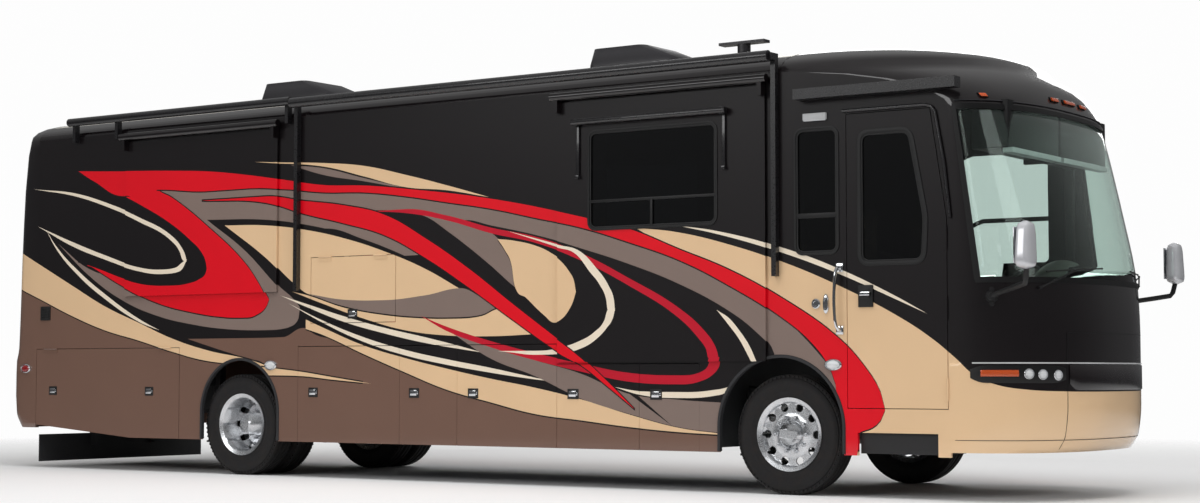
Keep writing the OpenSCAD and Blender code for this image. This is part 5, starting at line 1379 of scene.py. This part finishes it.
def camera_and_light(prop):
    """Camera, pale floor, world and four area lights."""
    scene = bpy.context.scene
    cam = bpy.data.cameras.new("Camera")
    cam.lens = CAMERA_LENS
    cam.sensor_width = CAMERA_SENSOR
    cam.clip_end = 500
    obj = new_object("Camera", cam)
    obj.location = CAMERA_PLACE
    obj.rotation_euler = (math.radians(90 + CAMERA_TILT), 0.0, math.radians(CAMERA_TURN))
    scene.camera = obj
    bm = bmesh.new()
    bmesh.ops.create_circle(bm, cap_ends=True, segments=96, radius=FLOOR_R)
    mesh = bpy.data.meshes.new("Studio floor")
    bm.to_mesh(mesh)
    bm.free()
    floor = new_object("Studio_floor", mesh)
    mat, n, shader = material("Studio floor", **{"Roughness": 0.7, "Specular IOR Level": 0.2})
    at = n.coords()
    tone = list(prop.floor_tone)
    n.link(n.mix(n.noise(at, 0.5), tone + [1], [c * 0.985 for c in tone] + [1]), shader.inputs["Base Color"])
    x, y, z = n.split(at)
    far = n.math("SQRT", n.math("ADD", n.math("MULTIPLY", x, x), n.math("MULTIPLY", y, y)))
    clear = n.add("ShaderNodeBsdfTransparent")
    both = n.add("ShaderNodeMixShader")
    n.link(n.ramp(far, *FLOOR_FADE, 0.0, 1.0), both.inputs[0])
    n.link(shader.outputs[0], both.inputs[1])
    n.link(clear.outputs[0], both.inputs[2])
    n.link(both.outputs[0], mat.node_tree.nodes["Material Output"].inputs[0])
    mesh.materials.append(mat)
    world = bpy.data.worlds.new("Studio")
    scene.world = world
    world.use_nodes = True
    w = Nodes(world.node_tree)
    back = world.node_tree.nodes["Background"]
    back.inputs[0].default_value = (0.985, 0.985, 0.985, 1)
    back.inputs[1].default_value = 1.0
    soft = w.add("ShaderNodeBackground")
    x, y, z = w.split(w.add("ShaderNodeTexCoord").outputs["Generated"])
    w.link(w.mix(w.ramp(z, -0.05, 0.8, 0.0, 1.0), (0.10, 0.10, 0.105, 1), (0.8, 0.8, 0.8, 1)), soft.inputs[0])
    soft.inputs[1].default_value = 0.5
    pick = w.add("ShaderNodeMixShader")
    path = w.add("ShaderNodeLightPath")
    w.link(w.math("MAXIMUM", path.outputs["Is Camera Ray"], path.outputs["Is Transmission Ray"]),
           pick.inputs[0])
    w.link(soft.outputs[0], pick.inputs[1])
    w.link(back.outputs[0], pick.inputs[2])
    w.link(pick.outputs[0], world.node_tree.nodes["World Output"].inputs[0])
    for name, place, aim, size, power in (
            ("Overhead", (2, -4, 13), (0, 0, 1), (16, 9), prop.key_power),
            ("Front", (19, -7, 7), (4, 0, 1.5), (7, 6), prop.key_power * 0.55),
            ("Side", (-5, -19, 9), (-2, 0, 1.5), (16, 5), prop.key_power * 0.6),
            ("Far", (-4, 16, 8), (-1, 0, 1.5), (14, 5), prop.key_power * 0.35)):
        lamp = bpy.data.lights.new(name, "AREA")
        lamp.shape = "RECTANGLE"
        lamp.size, lamp.size_y = size
        lamp.energy = power
        light = new_object(name, lamp)
        light.location = place
        light.rotation_euler = (Vector(aim) - Vector(place)).to_track_quat("-Z", "Y").to_euler()
        light.visible_glossy = name in ("Side", "Far")
    scene.view_settings.view_transform = "Standard"


class COACH_OT_finishes(bpy.types.Operator):
    """Make the materials and dress the frame's nodes"""
    bl_idname = "coach.finishes"
    bl_label = "Finishes"

    def execute(self, context):
        make_materials()
        finish_nodes()
        return {"FINISHED"}


class COACH_OT_rims(bpy.types.Operator):
    """Cut the wheels' hand holes to full size"""
    bl_idname = "coach.rims"
    bl_label = "Pierced wheels"

    def execute(self, context):
        wheels_pierced()
        return {"FINISHED"}


class COACH_OT_stage(bpy.types.Operator):
    """Set the camera, floor and lights"""
    bl_idname = "coach.stage"
    bl_label = "Studio"

    def execute(self, context):
        camera_and_light(context.scene.coach_finish)
        return {"FINISHED"}


class COACH_OT_tyres(bpy.types.Operator):
    """Turn the treaded tyres"""
    bl_idname = "coach.tyres"
    bl_label = "Tyres"

    def execute(self, context):
        tyres(context.scene.coach_finish)
        return {"FINISHED"}


class COACH_OT_wheels(bpy.types.Operator):
    """Add the hub covers and wheel nuts"""
    bl_idname = "coach.wheels"
    bl_label = "Hubs and nuts"

    def execute(self, context):
        wheel_details(context.scene.coach_finish)
        return {"FINISHED"}


class COACH_OT_latches(bpy.types.Operator):
    """Add the paddle latches to the lower doors"""
    bl_idname = "coach.latches"
    bl_label = "Latches"

    def execute(self, context):
        latches()
        return {"FINISHED"}


class COACH_OT_windows(bpy.types.Operator):
    """Add gaskets and frames round the panes"""
    bl_idname = "coach.windows"
    bl_label = "Window frames"

    def execute(self, context):
        window_frames()
        return {"FINISHED"}


class COACH_OT_entry(bpy.types.Operator):
    """Add the door handle, grab handle and porch lamp"""
    bl_idname = "coach.entry"
    bl_label = "Entry fittings"

    def execute(self, context):
        entry_fittings()
        return {"FINISHED"}


class COACH_OT_shells(bpy.types.Operator):
    """Smooth the caps, roof, windshield and roof units"""
    bl_idname = "coach.shells"
    bl_label = "Shells"

    def execute(self, context):
        smooth_copies()
        return {"FINISHED"}


class COACH_OT_front(bpy.types.Operator):
    """Add the lamps, trim and gasket to the front cap"""
    bl_idname = "coach.front"
    bl_label = "Front fittings"

    def execute(self, context):
        front_fittings()
        return {"FINISHED"}


class COACH_OT_mirrors(bpy.types.Operator):
    """Make the mirror heads and arms"""
    bl_idname = "coach.mirrors"
    bl_label = "Mirrors"

    def execute(self, context):
        mirror_pair()
        return {"FINISHED"}


class COACH_OT_sides(bpy.types.Operator):
    """Add side lamps, arch flares, drip rail and window awning"""
    bl_idname = "coach.sides"
    bl_label = "Side fittings"

    def execute(self, context):
        side_fittings()
        return {"FINISHED"}


class COACH_OT_cab(bpy.types.Operator):
    """Add the visors, instrument hood and inner pillars"""
    bl_idname = "coach.cab"
    bl_label = "Cab interior"

    def execute(self, context):
        cab_interior()
        return {"FINISHED"}


class COACH_OT_seats(bpy.types.Operator):
    """Pad the cab seats"""
    bl_idname = "coach.seats"
    bl_label = "Cab seats"

    def execute(self, context):
        cab_seating()
        return {"FINISHED"}


class COACH_OT_rear(bpy.types.Operator):
    """Add the louvres, plate and tail lamps"""
    bl_idname = "coach.rear"
    bl_label = "Rear fittings"

    def execute(self, context):
        rear_fittings()
        return {"FINISHED"}


class COACH_OT_roof_top(bpy.types.Operator):
    """Add the grilles of the roof units"""
    bl_idname = "coach.roof_top"
    bl_label = "Roof fittings"

    def execute(self, context):
        roof_fittings()
        return {"FINISHED"}


OPERATORS = [
    COACH_OT_finishes, COACH_OT_rims, COACH_OT_stage, COACH_OT_tyres,
    COACH_OT_wheels, COACH_OT_latches, COACH_OT_windows, COACH_OT_entry,
    COACH_OT_shells, COACH_OT_front, COACH_OT_mirrors, COACH_OT_sides,
    COACH_OT_cab, COACH_OT_seats, COACH_OT_rear, COACH_OT_roof_top,
]


class COACH_PT_panel(bpy.types.Panel):
    """The steps, in order, in the sidebar."""
    bl_label = "Motorhome"
    bl_space_type = "VIEW_3D"
    bl_region_type = "UI"
    bl_category = "Motorhome"

    def draw(self, context):
        for prop in ("tread_blocks", "wheel_nuts", "floor_tone", "key_power"):
            self.layout.prop(context.scene.coach_finish, prop)
        for cls in OPERATORS:
            self.layout.operator(cls.bl_idname)


CLASSES = [CoachFinish, *OPERATORS, COACH_PT_panel]


def register():
    """Registers the settings, the operators and the panel."""
    for cls in CLASSES:
        bpy.utils.register_class(cls)
    bpy.types.Scene.coach_finish = PointerProperty(type=CoachFinish)


def unregister():
    """Takes them out again."""
    del bpy.types.Scene.coach_finish
    for cls in reversed(CLASSES):
        bpy.utils.unregister_class(cls)


def main():
    """Runs every step in order."""
    register()
    for cls in OPERATORS:
        getattr(bpy.ops.coach, cls.bl_idname.split(".")[1])()


if __name__ == "__main__":
    main()
